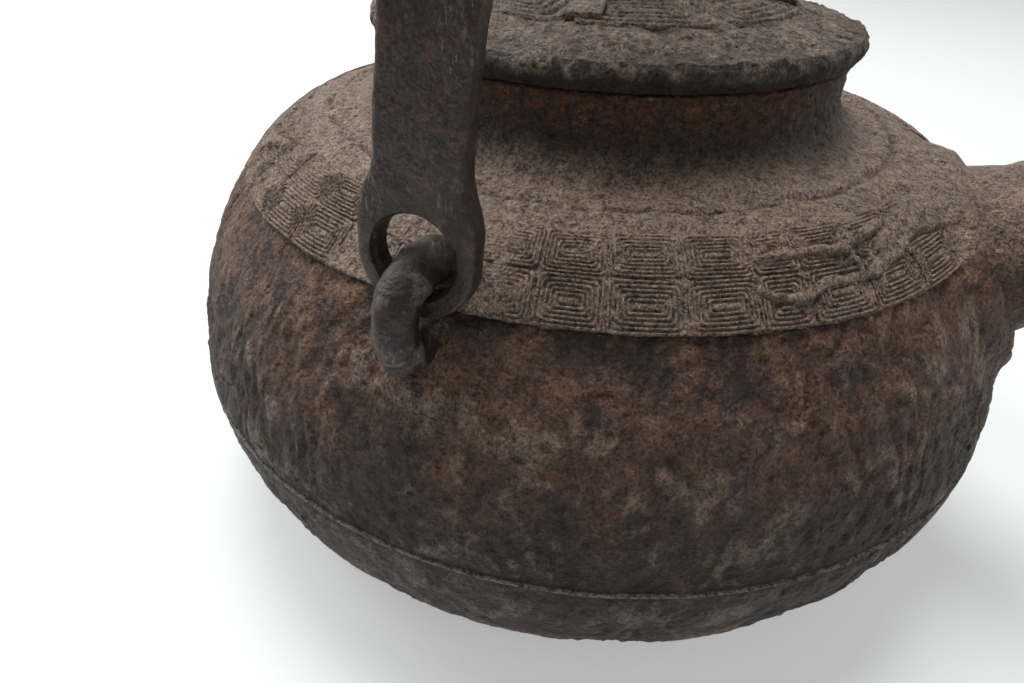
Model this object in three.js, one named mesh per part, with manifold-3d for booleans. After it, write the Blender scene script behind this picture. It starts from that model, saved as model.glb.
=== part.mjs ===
// Tetsubin: a cast-iron water kettle with a forged swing bail and a lift-off lid.
// Millimetres, +Z up. The origin is the centre of the flat base, on the ground.
// The spout points along +X and the two bail lugs stand on +Y (left) and -Y (right).

import * as THREE from 'three';
import { mergeVertices } from 'three/addons/utils/BufferGeometryUtils.js';
import Module from 'manifold-3d';

const wasm = await Module();
wasm.setup();

// Facets of a full turn
const bodySides = 56;
const lidSides = 48;
const knobSides = 30;
const rodSides = 12;

// Kettle body, one casting
const baseRadius = 52;
const seamRadius = 94.4;
const seamHeight = 43;
const shoulderRadius = 60;
const shoulderHeight = 94.2;
const wallPower = 1.75; // 2 is an ellipse, lower is flatter
const bodyWall = 3.8;
const finProud = 0.6; // mould-parting fin round the widest part
const finThickness = 1.2;
const bandBottomDrop = 11; // raised fret band's edges below the shoulder's top
const bandTopDrop = 1.6;
const bandProud = 0.8;
const neckRadius = 48.6;
const neckRise = 14.1; // rim above the shoulder
const neckFlare = 0.6;
const neckBellShare = 0.6; // height at which the neck's curve ends, as a share of its rise
const mouthRadius = 44.2;

// Spout, cast in one with the body and drawn as a node of its own with a fine gap at its root
const spoutReach = 110; // tip centre from the kettle's axis
const spoutTipRise = 13.3; // lip above the shoulder's top
const spoutTipRadius = 10.5;
const spoutRootDrop = 18.2; // middle of the root below the shoulder's top
const spoutRootWidth = 48;
const spoutRootDepth = 38;
const spoutSwellShare = 0.85; // length over which the spout narrows to its tip's size
const spoutSwellPower = 1.5;
const spoutWall = 3.2;
const spoutGap = 0.3;
const spoutSteps = 9;
const spoutSides = 24;

// Lugs, bent from round rod and cast into the shoulder
const rodRadius = 3.1;
const lugCrestRise = 7.4; // rod's crest above the band's lower edge
const lugFootDrop = 5.6; // rod's lower leg below the band's lower edge
const lugBendRadius = 5.2;
const lugSkew = 1; // sideways bend of the outer leg
const lugRootDepth = 1.9; // length held in the wall, short of its inside
const lugFootSlope = 0.45; // lower root's fall towards the wall
const lugSteps = 30;
const socketClearance = 0.3;

// Bail, a flat forged strap with an eye at each end
const strapWidth = 13.6;
const strapThickness = 4.2;
const bailRise = 97; // crown above the hinge line
const bailPower = 2.6;
const bailLean = 4; // degrees from upright, towards the spout
const eyeRadius = 9.1;
const eyeHoleRadius = 6.4;
const eyeNeckRise = 17; // height at which the eye runs out into the strap
const eyeNeckEase = 6; // lengths of the eye's shoulder curve at its two ends
const eyeSideEase = 5;
const eyeSlack = 0.9; // room below the rod in the eye
const eyeToBand = 0.9; // inner face of the eye to the band's edge
const eyeToLeg = 1.5; // outer face of the eye to the lug's outer leg

// Lid
const seatGap = 0.3;
const lidRadius = 51.4;
const lidLowerRadius = 49.8;
const lidRimHeight = 4.9;
const lidRise = 5.4; // middle of the top above the rim
const lidThickness = 3.8;
const flangeClearance = 0.9;
const flangeDepth = 5;
const flangeWall = 3;
const fretRingOuter = 37.5; // raised ring on the lid
const fretRingInner = 22;
const fretRingProud = 0.8;

// Knob, riveted through the lid
const seatRadius = 12;
const seatThickness = 1.6;
const seatLobe = 1.2;
const knobRadius = 10;
const knobHeight = 15;
const knobFootRadius = 4.6;
const knobLobe = 0.5;
const petals = 5;
const shankRadius = 2.8;
const shankClearance = 0.4;
const washerRadius = 7.5;
const washerThickness = 1.4;
const rivetHeadRadius = 4.8;
const rivetHeadThickness = 1.6;

// Worked-out places
const rimHeight = shoulderHeight + neckRise;
const bandBottom = shoulderHeight - bandBottomDrop;
const bandTop = shoulderHeight - bandTopDrop;
const spoutTipHeight = shoulderHeight + spoutTipRise;
const spoutRootHeight = shoulderHeight - spoutRootDrop;
const lidBase = rimHeight + seatGap;
const hingeHeight = bandBottom + lugCrestRise;
const eyeInner = wallRadius(bandBottom) + bandProud + eyeToBand;
const eyeOuter = eyeInner + strapThickness;
const halfSpan = (eyeInner + eyeOuter) / 2;
const lugLegRadius = eyeOuter + eyeToLeg + rodRadius;

// Solids

/** Closed solid of a three.js geometry, with its faces turned outwards. */
function solidOf(geometry) {
  const bare = geometry.index ? geometry.toNonIndexed() : geometry.clone();
  bare.deleteAttribute('normal');
  bare.deleteAttribute('uv');
  const merged = mergeVertices(bare, 1e-4);
  const index = merged.index.array;
  const make = (flip) => {
    const triVerts = [];
    for (let i = 0; i < index.length; i += 3) {
      const [a, b, c] = [index[i], index[i + 1], index[i + 2]];
      const isFlat = a === b || b === c || c === a;
      if (!isFlat) triVerts.push(a, flip ? c : b, flip ? b : c);
    }
    return new wasm.Manifold(new wasm.Mesh({
      numProp: 3,
      vertProperties: merged.attributes.position.array,
      triVerts: new Uint32Array(triVerts),
    }));
  };
  const made = make(false);
  return made.volume() < 0 ? make(true) : made;
}

/** Named mesh of a solid in its own material. */
function meshOf(name, solid, material) {
  const { vertProperties, triVerts } = solid.getMesh();
  const geometry = new THREE.BufferGeometry();
  geometry.setAttribute('position', new THREE.BufferAttribute(vertProperties, 3));
  geometry.setIndex(new THREE.BufferAttribute(triVerts, 1));
  geometry.computeVertexNormals();
  const mesh = new THREE.Mesh(geometry, material);
  mesh.name = name;
  return mesh;
}

/** Solid turned about +Z from a profile of (radius, height) points. */
function turned(profile, sides) {
  return solidOf(new THREE.LatheGeometry(profile, sides).rotateX(Math.PI / 2));
}

/** Solid swept along a path by a round section. */
function rod(path, radius, steps) {
  const section = new THREE.Shape().absarc(0, 0, radius, 0, 2 * Math.PI);
  return solidOf(new THREE.ExtrudeGeometry(section, {
    steps,
    curveSegments: rodSides / 2,
    extrudePath: path,
  }));
}

const point = (r, z) => new THREE.Vector2(r, z);

/** Quarter of a superellipse round (r0, z0), from angle `from` to `to` in degrees. */
function superArc(r0, z0, across, up, power, from, to, steps) {
  return Array.from({ length: steps + 1 }, (_, i) => {
    const angle = THREE.MathUtils.degToRad(from + ((to - from) * i) / steps);
    const r = r0 + across * Math.cos(angle) ** (2 / power);
    return point(r, z0 + up * Math.sin(angle) ** (2 / power));
  });
}

// Kettle body

/** Angle on the wall's superellipse at a height, in degrees. */
function wallAngle(height) {
  const share = (height - seamHeight) / (shoulderHeight - seamHeight);
  return THREE.MathUtils.radToDeg(Math.asin(share ** (wallPower / 2)));
}

/** Outer radius of the plain wall at a height above the seam. */
function wallRadius(height) {
  const share = (height - seamHeight) / (shoulderHeight - seamHeight);
  const across = (1 - share ** wallPower) ** (1 / wallPower);
  return shoulderRadius + (seamRadius - shoulderRadius) * across;
}

/** Outer wall between two heights, moved outwards along its normal by `proud`. */
function wallBetween(low, high, proud, steps) {
  const across = seamRadius - shoulderRadius;
  const up = shoulderHeight - seamHeight;
  const arc = superArc(shoulderRadius, seamHeight, across, up, wallPower,
    wallAngle(low), wallAngle(high), steps);
  return arc.map((p) => {
    const normal = point(
      ((p.x - shoulderRadius) / across) ** (wallPower - 1) / across,
      ((p.y - seamHeight) / up) ** (wallPower - 1) / up,
    ).normalize();
    return p.clone().addScaledVector(normal, proud);
  });
}

function bodyOutside() {
  const bowl = superArc(baseRadius, seamHeight, seamRadius - baseRadius, seamHeight, 2, 90, 2, 7)
    .map((p) => point(p.x, 2 * seamHeight - p.y));
  const neck = new THREE.QuadraticBezierCurve(
    point(shoulderRadius, shoulderHeight),
    point(neckRadius + neckFlare, shoulderHeight + 0.05 * neckRise),
    point(neckRadius, shoulderHeight + neckBellShare * neckRise),
  ).getPoints(5);
  return turned([
    point(0, 0),
    ...bowl,
    point(seamRadius + finProud, seamHeight),
    ...wallBetween(seamHeight + finThickness / 2, bandBottom, 0, 6),
    ...wallBetween(bandBottom, bandTop, bandProud, 4),
    ...wallBetween(bandTop, shoulderHeight, 0, 2).slice(0, 2),
    ...neck,
    point(neckRadius + neckFlare, rimHeight),
    point(0, rimHeight),
  ], bodySides);
}

function bodyInside() {
  const bowl = superArc(baseRadius, seamHeight, seamRadius - baseRadius - bodyWall,
    seamHeight - bodyWall, 2, 90, 0, 5).map((p) => point(p.x, 2 * seamHeight - p.y));
  const wall = superArc(shoulderRadius, seamHeight, seamRadius - shoulderRadius - bodyWall,
    shoulderHeight - seamHeight - bodyWall, wallPower, 0, 90, 6).slice(1);
  const throat = new THREE.QuadraticBezierCurve(
    point(shoulderRadius, shoulderHeight - bodyWall),
    point(mouthRadius, shoulderHeight - bodyWall),
    point(mouthRadius, shoulderHeight + 0.3 * neckRise),
  ).getPoints(4).slice(1);
  return turned([
    point(0, bodyWall),
    ...bowl,
    ...wall,
    ...throat,
    point(mouthRadius, rimHeight + bodyWall),
    point(0, rimHeight + bodyWall),
  ], bodySides);
}

/** Middle line of the spout, from inside the wall out past its level lip. */
function spoutLine(extra) {
  const rootRadius = wallRadius(spoutRootHeight);
  const reach = spoutReach - rootRadius;
  const rise = spoutTipHeight - spoutRootHeight;
  const at = (x, z) => new THREE.Vector3(x, 0, z);
  return new THREE.CatmullRomCurve3([
    at(rootRadius - 2 * bodyWall - extra, spoutRootHeight - 0.12 * rise),
    at(rootRadius + 0.25 * reach, spoutRootHeight + 0.14 * rise),
    at(rootRadius + 0.68 * reach, spoutRootHeight + 0.5 * rise),
    at(spoutReach, spoutTipHeight),
    at(spoutReach + 0.32 * spoutTipRadius, spoutTipHeight + 0.8 * spoutTipRadius),
  ]);
}

/** Tapered spout form: rings along its middle line, thinner by `inset`, longer by `extra`. */
function spoutForm(inset, extra) {
  const line = spoutLine(extra);
  const shape = new THREE.BufferGeometry();
  const vertices = [];
  const faces = [];
  for (let i = 0; i <= spoutSteps; i += 1) {
    const share = i / spoutSteps;
    const centre = line.getPointAt(share);
    const along = line.getTangentAt(share);
    const up = new THREE.Vector3(-along.z, 0, along.x);
    const swell = Math.max(0, 1 - share / spoutSwellShare) ** spoutSwellPower;
    const wide = spoutTipRadius + (spoutRootWidth / 2 - spoutTipRadius) * swell - inset;
    const deep = spoutTipRadius + (spoutRootDepth / 2 - spoutTipRadius) * swell - inset;
    for (let j = 0; j < spoutSides; j += 1) {
      const turn = (2 * Math.PI * j) / spoutSides;
      const rim = centre.clone().addScaledVector(up, deep * Math.cos(turn));
      vertices.push(rim.x, wide * Math.sin(turn), rim.z);
    }
  }
  const ring = (i, j) => i * spoutSides + (j % spoutSides);
  for (let j = 0; j < spoutSides; j += 1) {
    for (let i = 0; i < spoutSteps; i += 1) {
      faces.push(ring(i, j), ring(i, j + 1), ring(i + 1, j + 1));
      faces.push(ring(i, j), ring(i + 1, j + 1), ring(i + 1, j));
    }
    if (j > 1) {
      faces.push(ring(0, 0), ring(0, j), ring(0, j - 1));
      faces.push(ring(spoutSteps, 0), ring(spoutSteps, j - 1), ring(spoutSteps, j));
    }
  }
  shape.setAttribute('position', new THREE.Float32BufferAttribute(vertices, 3));
  shape.setIndex(faces);
  return solidOf(shape);
}

/** Block that cuts the spout's mouth level. */
function spoutTrim() {
  const size = 6 * spoutTipRadius;
  const block = new THREE.BoxGeometry(size, size, size);
  return solidOf(block.translate(spoutReach, 0, spoutTipHeight + size / 2));
}

// Lugs

/** Middle line of the left lug, from its upper root over the crest and down to its lower root. */
function lugLine(extra) {
  const crest = hingeHeight;
  const foot = bandBottom - lugFootDrop;
  const bend = lugBendRadius;
  const half = Math.SQRT1_2;
  const at = (y, z, skew = 0) => new THREE.Vector3(skew, y, z);
  const inner = eyeInner - 0.4;
  const rootTop = 2 + lugRootDepth + extra;
  const upper = at(inner - half * bend, crest - (1 - half) * bend);
  const footEnd = wallRadius(foot) - lugRootDepth - extra;
  return new THREE.CatmullRomCurve3([
    at(upper.y - half * rootTop, upper.z - half * rootTop),
    at(upper.y - half, upper.z - half),
    at(inner - 0.38 * bend, crest - 0.08 * bend),
    at(inner + 0.5, crest),
    at(eyeOuter - 0.8, crest),
    at(lugLegRadius - 0.3 * bend, crest - 0.3 * bend, 0.6 * lugSkew),
    at(lugLegRadius, crest - bend, lugSkew),
    at(lugLegRadius, foot + bend, lugSkew),
    at(lugLegRadius - 0.3 * bend, foot + 0.3 * bend, 0.6 * lugSkew),
    at(lugLegRadius - bend, foot, 0.2 * lugSkew),
    at(footEnd, foot - lugFootSlope * (lugLegRadius - bend - footEnd)),
  ], false, 'centripetal');
}

const lugSolid = rod(lugLine(0), rodRadius, lugSteps);
const lugSocket = rod(lugLine(socketClearance), rodRadius + socketClearance, lugSteps);

// Bail

/** Arch of the bail seen from the side: half span and rise of one edge. */
function archEdge(halfWidth, rise) {
  const right = superArc(0, 0, halfWidth, rise, bailPower, 0, 90, 16);
  const left = right.slice(0, -1).reverse().map((p) => point(-p.x, p.y));
  return [...right, ...left];
}

function bailSolid() {
  const half = strapThickness / 2;
  const reach = 2 * eyeRadius;
  const outer = archEdge(halfSpan + half, bailRise + half);
  const inner = archEdge(halfSpan - half, bailRise - half).reverse();
  const arch = new THREE.Shape([
    point(halfSpan + half, -reach),
    ...outer,
    point(-halfSpan - half, -reach),
    point(-halfSpan + half, -reach),
    ...inner,
    point(halfSpan - half, -reach),
  ]);
  const depth = 4 * eyeRadius;
  const side = new THREE.ExtrudeGeometry(arch, { depth, bevelEnabled: false });
  side.translate(0, 0, -depth / 2).rotateX(Math.PI / 2).rotateZ(Math.PI / 2);

  const eyeRise = eyeHoleRadius - rodRadius - eyeSlack;
  const edge = strapWidth / 2;
  const top = bailRise + strapThickness;
  const face = new THREE.Shape();
  face.moveTo(edge, top);
  face.lineTo(-edge, top);
  face.lineTo(-edge, eyeNeckRise);
  const neckEnd = eyeNeckRise - eyeNeckEase;
  const sideEnd = eyeRise + eyeSideEase;
  face.bezierCurveTo(-edge, neckEnd, -eyeRadius, sideEnd, -eyeRadius, eyeRise);
  face.absarc(0, eyeRise, eyeRadius, Math.PI, 2 * Math.PI, false);
  face.bezierCurveTo(eyeRadius, sideEnd, edge, neckEnd, edge, eyeNeckRise);
  face.closePath();
  face.holes.push(new THREE.Path().absarc(0, eyeRise, eyeHoleRadius, 0, 2 * Math.PI, true));
  const span = 2 * (halfSpan + strapThickness);
  const front = new THREE.ExtrudeGeometry(face, { depth: span, bevelEnabled: false, curveSegments: 8 });
  front.translate(0, 0, -span / 2).rotateX(Math.PI / 2);
  return solidOf(side).intersect(solidOf(front));
}

// Lid and knob

const lidTop = lidBase + lidRimHeight + lidRise;
const bossRadius = seatRadius + seatLobe + 1;

/** Height of the lid's plain top at a radius. */
function lidSurface(radius) {
  const share = radius / lidRadius;
  return lidTop - lidRise * share ** 2;
}

function lidSolid() {
  const hole = shankRadius + shankClearance;
  const flangeOuter = mouthRadius - flangeClearance;
  const flangeInner = flangeOuter - flangeWall;
  const under = (radius) => point(radius, lidSurface(radius) - lidThickness);
  const top = (radius, proud = 0) => point(radius, lidSurface(radius) + proud);
  const underBoss = lidTop - lidThickness;
  return turned([
    point(hole, underBoss),
    point(washerRadius + 1, underBoss),
    under(0.5 * flangeInner),
    under(flangeInner - 1),
    point(flangeInner, lidBase - flangeDepth),
    point(flangeOuter, lidBase - flangeDepth),
    point(flangeOuter, lidBase),
    point(lidLowerRadius, lidBase),
    point(lidRadius, lidBase + 0.66 * lidRimHeight),
    point(lidRadius - 0.7, lidBase + lidRimHeight),
    top(0.5 * (lidRadius + fretRingOuter)),
    top(fretRingOuter),
    top(fretRingOuter - 0.3, fretRingProud),
    top(0.5 * (fretRingOuter + fretRingInner), fretRingProud),
    top(fretRingInner + 0.3, fretRingProud),
    top(fretRingInner),
    point(bossRadius, lidTop),
    point(hole, lidTop),
    point(hole, underBoss),
  ], lidSides);
}

/** Flower-shaped plate with a hole. */
function seatSolid() {
  const steps = 10 * petals;
  const outline = Array.from({ length: steps }, (_, i) => {
    const turn = (2 * Math.PI * i) / steps;
    const radius = seatRadius + seatLobe * Math.abs(Math.cos((petals * turn) / 2));
    return point(radius * Math.cos(turn), radius * Math.sin(turn));
  });
  const flower = new THREE.Shape(outline);
  const hole = shankRadius + shankClearance;
  flower.holes.push(new THREE.Path().absarc(0, 0, hole, 0, 2 * Math.PI, true));
  const plate = new THREE.ExtrudeGeometry(flower, { depth: seatThickness, bevelEnabled: false });
  return solidOf(plate.translate(0, 0, lidTop + seatGap));
}

const knobBase = lidTop + seatThickness + 2 * seatGap;
const washerTop = lidTop - lidThickness - seatGap;
const rivetTop = washerTop - washerThickness - seatGap;

/** Bud-shaped knob with its shank and the head that is hammered over below the lid. */
function knobSolid() {
  const bud = [[0.9, 0], [0.95, 0.1], [0.5, 0.24], [0.62, 0.36], [0.93, 0.52], [1, 0.66],
    [0.88, 0.8], [0.6, 0.92], [0.25, 0.985]];
  const foot = (share) => Math.max(share * knobRadius, knobFootRadius);
  const lathe = new THREE.LatheGeometry([
    point(0, rivetTop - rivetHeadThickness),
    point(rivetHeadRadius - 0.6, rivetTop - rivetHeadThickness),
    point(rivetHeadRadius, rivetTop - 0.5 * rivetHeadThickness),
    point(rivetHeadRadius, rivetTop),
    point(shankRadius, rivetTop),
    point(shankRadius, knobBase),
    ...bud.map(([r, z]) => point(z < 0.3 ? foot(r * 0.8) : r * knobRadius, knobBase + z * knobHeight)),
    point(0, knobBase + knobHeight),
  ], knobSides).rotateX(Math.PI / 2);
  const place = lathe.attributes.position;
  for (let i = 0; i < place.count; i += 1) {
    const radius = Math.hypot(place.getX(i), place.getY(i));
    const share = (place.getZ(i) - knobBase) / knobHeight;
    const swell = share > 0.3 ? Math.min(radius / knobRadius, 1) : 0;
    const turn = Math.atan2(place.getY(i), place.getX(i));
    const lobed = radius - knobLobe * swell * (1 - Math.abs(Math.cos((petals * turn) / 2)));
    const scale = radius > 0 ? lobed / radius : 1;
    place.setXY(i, place.getX(i) * scale, place.getY(i) * scale);
  }
  return solidOf(lathe);
}

function washerSolid() {
  const hole = shankRadius + shankClearance;
  const low = washerTop - washerThickness;
  return turned([
    point(hole, low),
    point(washerRadius, low),
    point(washerRadius, washerTop),
    point(hole, washerTop),
    point(hole, low),
  ], knobSides);
}

// Assembly

const iron = (colour, roughness, metalness) =>
  new THREE.MeshStandardMaterial({ color: colour, roughness, metalness });
const bodyIron = iron(0x4d3f36, 0.85, 0.35);
const lidIron = iron(0x54493f, 0.82, 0.35);
const lugIron = iron(0x3e3735, 0.6, 0.55);
const bailIron = iron(0x38332f, 0.6, 0.6);
const knobIron = iron(0x3f3733, 0.6, 0.5);

const bodyForm = bodyOutside();
const spoutBore = spoutForm(spoutWall, 2 * bodyWall);
const bodySolid = bodyForm
  .subtract(bodyInside())
  .subtract(spoutBore)
  .subtract(lugSocket)
  .subtract(lugSocket.rotate([0, 0, 180]));

const bodyWithGap = bodyForm
  .translate([0, 0, -seamHeight])
  .scale(1 + spoutGap / wallRadius(spoutRootHeight))
  .translate([0, 0, seamHeight]);
const spoutSolid = spoutForm(0, 0)
  .subtract(spoutTrim())
  .subtract(bodyWithGap)
  .subtract(spoutBore);

const kettle = new THREE.Group();
kettle.name = 'kettle';
kettle.add(meshOf('kettle_body', bodySolid, bodyIron));
kettle.add(meshOf('spout', spoutSolid, bodyIron));
kettle.add(meshOf('lug_left', lugSolid, lugIron));
const lugRight = meshOf('lug_right', lugSolid, lugIron);
lugRight.rotation.z = Math.PI;
kettle.add(lugRight);

const bail = meshOf('bail', bailSolid(), bailIron);
bail.position.z = hingeHeight;
bail.rotation.y = THREE.MathUtils.degToRad(bailLean);

const lid = new THREE.Group();
lid.name = 'lid_assembly';
lid.add(meshOf('lid', lidSolid(), lidIron));
lid.add(meshOf('knob_seat', seatSolid(), knobIron));
lid.add(meshOf('knob_rivet_washer', washerSolid(), knobIron));
lid.add(meshOf('lid_knob', knobSolid(), knobIron));

const tetsubin = new THREE.Group();
tetsubin.name = 'tetsubin';
tetsubin.add(kettle, bail, lid);

export default tetsubin;
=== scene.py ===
"""Looks of a cast-iron tetsubin kettle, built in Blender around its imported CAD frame.

Shapes are worked out in millimetres and scaled to metres as each piece is finished. The frame has
+Z up, the spout along +X and the two bail lugs on +Y and -Y. Angles are degrees from -Y towards +X.
"""

import logging
import math
import random
from collections.abc import Callable
from dataclasses import dataclass, field
from enum import Enum

import bmesh
import bpy
from mathutils import Matrix, Vector, noise


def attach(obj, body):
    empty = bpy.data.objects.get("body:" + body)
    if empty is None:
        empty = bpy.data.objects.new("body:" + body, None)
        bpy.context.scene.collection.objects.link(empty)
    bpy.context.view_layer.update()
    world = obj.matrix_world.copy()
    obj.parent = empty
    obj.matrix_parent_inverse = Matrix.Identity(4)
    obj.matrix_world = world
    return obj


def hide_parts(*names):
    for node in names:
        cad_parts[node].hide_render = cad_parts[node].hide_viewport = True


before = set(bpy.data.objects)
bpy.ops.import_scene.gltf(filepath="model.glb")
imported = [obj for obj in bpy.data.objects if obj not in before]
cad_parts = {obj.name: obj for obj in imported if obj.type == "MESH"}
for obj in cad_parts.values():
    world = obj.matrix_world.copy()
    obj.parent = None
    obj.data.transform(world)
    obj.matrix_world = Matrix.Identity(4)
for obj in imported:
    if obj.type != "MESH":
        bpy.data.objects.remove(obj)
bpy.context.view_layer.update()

log = logging.getLogger("tetsubin")
MM = 0.001
SKIN = "skin"  # vertex attribute: 1 on faces that show the casting's outside
CREST = "crest"  # vertex attribute: 0 in hollows, 0.5 on the plain surface, 1 on ridges


class Body(Enum):
    """Bodies of the frame that a piece can ride on."""

    KETTLE = "kettle"
    BAIL = "bail"
    LID = "lid"
    KNOB = "knob"


class Slot(Enum):
    """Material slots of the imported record."""

    BODY = "body_iron"
    LID = "lid_iron"
    LUG = "lug_iron"
    BAIL = "bail_iron"
    KNOB = "knob_iron"


# Small tools


def linear(code: str) -> tuple[float, float, float, float]:
    """Turns an sRGB hex colour to linear.

    Args:
        code: Colour such as "#3a2e28".

    Returns:
        Linear red, green and blue, and an alpha of 1.
    """
    parts = [int(code[i : i + 2], 16) / 255 for i in (1, 3, 5)]
    red, green, blue = (
        c / 12.92 if c <= 0.04045 else ((c + 0.055) / 1.055) ** 2.4 for c in parts
    )
    return red, green, blue, 1.0


def blend(low: float, high: float, value: float) -> float:
    """Smooth step: 0 below `low`, 1 above `high`."""
    share = min(1.0, max(0.0, (value - low) / (high - low)))
    return share * share * (3 - 2 * share)


def rough(place: Vector, size: float, octaves: int = 3, stretch: float = 1.0, seed: float = 0.0) -> float:
    """Fractal noise in space.

    Args:
        place: Point in mm.
        size: Width of the largest features in mm.
        octaves: Number of ever finer layers.
        stretch: Height of a feature over its width.
        seed: Shift that gives another pattern.

    Returns:
        Value of about -1 to 1.
    """
    spot = Vector((place.x / size + seed, place.y / size - seed, place.z / (size * stretch)))
    return noise.fractal(spot, 1.0, 2.0, octaves)


def dimple(place: Vector, size: float, seed: float = 0.0) -> float:
    """Round hollows in a loose scatter.

    Args:
        place: Point in mm.
        size: Spacing of the hollows in mm.
        seed: Shift that gives another scatter.

    Returns:
        -1 in the middle of a hollow, 0 between them.
    """
    near = noise.voronoi(place / size + Vector((seed, seed, seed)))[0][0]
    return blend(0.05, 0.6, near) - 1


def through(points: list[Vector], share: float) -> Vector:
    """Point on a smooth curve through points.

    Args:
        points: Points that the curve passes.
        share: Place along it, 0 at the first point and 1 at the last.

    Returns:
        The point there.
    """
    spans = len(points) - 1
    place = min(max(share, 0.0), 0.999999) * spans
    i = int(place)
    t = place - i
    before = points[max(i - 1, 0)]
    start, end = points[i], points[i + 1]
    after = points[min(i + 2, spans)]
    bend = (2 * before - 5 * start + 4 * end - after) * t * t
    turn = (3 * start - before - 3 * end + after) * t * t * t
    return (2 * start + (end - before) * t + bend + turn) / 2


def polar(angle: float, radius: float, height: float) -> Vector:
    """Point at an angle in degrees from -Y towards +X."""
    turn = math.radians(angle)
    return Vector((radius * math.sin(turn), -radius * math.cos(turn), height))


def angle_of(place: Vector) -> float:
    """Angle of a point, in degrees from -Y towards +X."""
    return math.degrees(math.atan2(place.x, -place.y))


@dataclass
class Outline:
    """Line in the kettle's half section, measured along its own length.

    Attributes:
        points: Points as (radius, height), the outside of the metal on the line's right.
        lengths: Length up to each point.
    """

    points: list[Vector]
    lengths: list[float] = field(default_factory=list)

    def __post_init__(self) -> None:
        """Measures the line."""
        self.lengths = [0.0]
        for start, end in zip(self.points, self.points[1:]):
            self.lengths.append(self.lengths[-1] + (end - start).length)

    @property
    def length(self) -> float:
        """Length of the whole line."""
        return self.lengths[-1]

    def at(self, distance: float) -> tuple[Vector, Vector]:
        """Finds a point on the line.

        Args:
            distance: Length along the line in mm.

        Returns:
            The point and the outward normal there.
        """
        i = 0
        while i < len(self.lengths) - 2 and self.lengths[i + 1] < distance:
            i += 1
        start, end = self.points[i], self.points[i + 1]
        along = (end - start).normalized()
        return start + along * (distance - self.lengths[i]), Vector((along.y, -along.x))

    def spaced(self, step: float) -> list[Vector]:
        """Points along the whole line, about `step` mm apart."""
        count = max(1, round(self.length / step))
        return [self.at(self.length * i / count)[0] for i in range(count + 1)]


def super_arc(
    centre: Vector, across: float, up: float, power: float, angles: tuple[float, float], steps: int
) -> list[Vector]:
    """Part of a superellipse's upper right quarter.

    Args:
        centre: Its middle, as (radius, height).
        across: Half width.
        up: Half height.
        power: 2 is an ellipse, lower is flatter.
        angles: First and last angle in degrees.
        steps: Number of steps between them.

    Returns:
        The points.
    """
    points = []
    for i in range(steps + 1):
        turn = math.radians(angles[0] + (angles[1] - angles[0]) * i / steps)
        reach = max(0.0, math.cos(turn)) ** (2 / power)
        rise = max(0.0, math.sin(turn)) ** (2 / power)
        points.append(centre + Vector((across * reach, up * rise)))
    return points


def turned(outside: list[Vector], inside: list[Vector], steps: int, ring: bool = False) -> bmesh.types.BMesh:
    """Turns a half section about the kettle's axis.

    Args:
        outside: Points of the outer side as (radius, height), with skin 1.
        inside: Points that close the section, with skin 0.
        steps: Steps in the full turn, a multiple of 8.
        ring: True where the section closes on itself away from the axis.

    Returns:
        The closed mesh.
    """
    bm = bmesh.new()
    skin = bm.verts.layers.float.new(SKIN)
    verts = []
    for shown, points in ((1.0, outside), (0.0, inside)):
        for place in points:
            verts.append(bm.verts.new((place.x, 0, place.y)))
            verts[-1][skin] = shown
    for start, end in zip(verts, verts[1:]):
        bm.edges.new((start, end))
    if ring:
        bm.edges.new((verts[-1], verts[0]))
    bmesh.ops.spin(
        bm,
        geom=bm.verts[:] + bm.edges[:],
        cent=(0, 0, 0),
        axis=(0, 0, 1),
        dvec=(0, 0, 0),
        angle=math.tau / 8,
        steps=steps // 8,
        use_merge=False,
        use_duplicate=False,
    )
    for wedges in (1, 2, 4):
        copy = bmesh.ops.duplicate(bm, geom=bm.verts[:] + bm.edges[:] + bm.faces[:])["geom"]
        verts = [g for g in copy if isinstance(g, bmesh.types.BMVert)]
        spin = Matrix.Rotation(math.tau / 8 * wedges, 3, "Z")
        bmesh.ops.rotate(bm, verts=verts, cent=(0, 0, 0), matrix=spin)
    close(bm)
    return bm


def drawn_out(bm: bmesh.types.BMesh, face: bmesh.types.BMFace, keep: bool = False) -> bmesh.types.BMFace:
    """Extrudes a face and leaves no wall inside.

    Args:
        bm: The mesh.
        face: Face to extrude.
        keep: True to leave the face where it was, as the closed start of a form.

    Returns:
        The new face, its corners in the same order.
    """
    made = bmesh.ops.extrude_face_region(bm, geom=[face])["geom"]
    if not keep:
        bmesh.ops.delete(bm, geom=[face], context="FACES_ONLY")
    return next(g for g in made if isinstance(g, bmesh.types.BMFace))


@dataclass
class Station:
    """Place of a section along a swept form.

    Attributes:
        middle: Middle of the section.
        side: Unit vector of its width.
        up: Unit vector of its depth.
        wide: Half width.
        deep: Half depth.
    """

    middle: Vector
    side: Vector
    up: Vector
    wide: float
    deep: float

    def place(self, share: Vector) -> Vector:
        """Point of the section at shares -1 to 1 of its half width and half depth."""
        return self.middle + self.side * (self.wide * share.x) + self.up * (self.deep * share.y)


def round_section(count: int) -> list[Vector]:
    """Circle of radius 1."""
    turns = (math.tau * i / count for i in range(count))
    return [Vector((math.cos(t), math.sin(t))) for t in turns]


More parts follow.
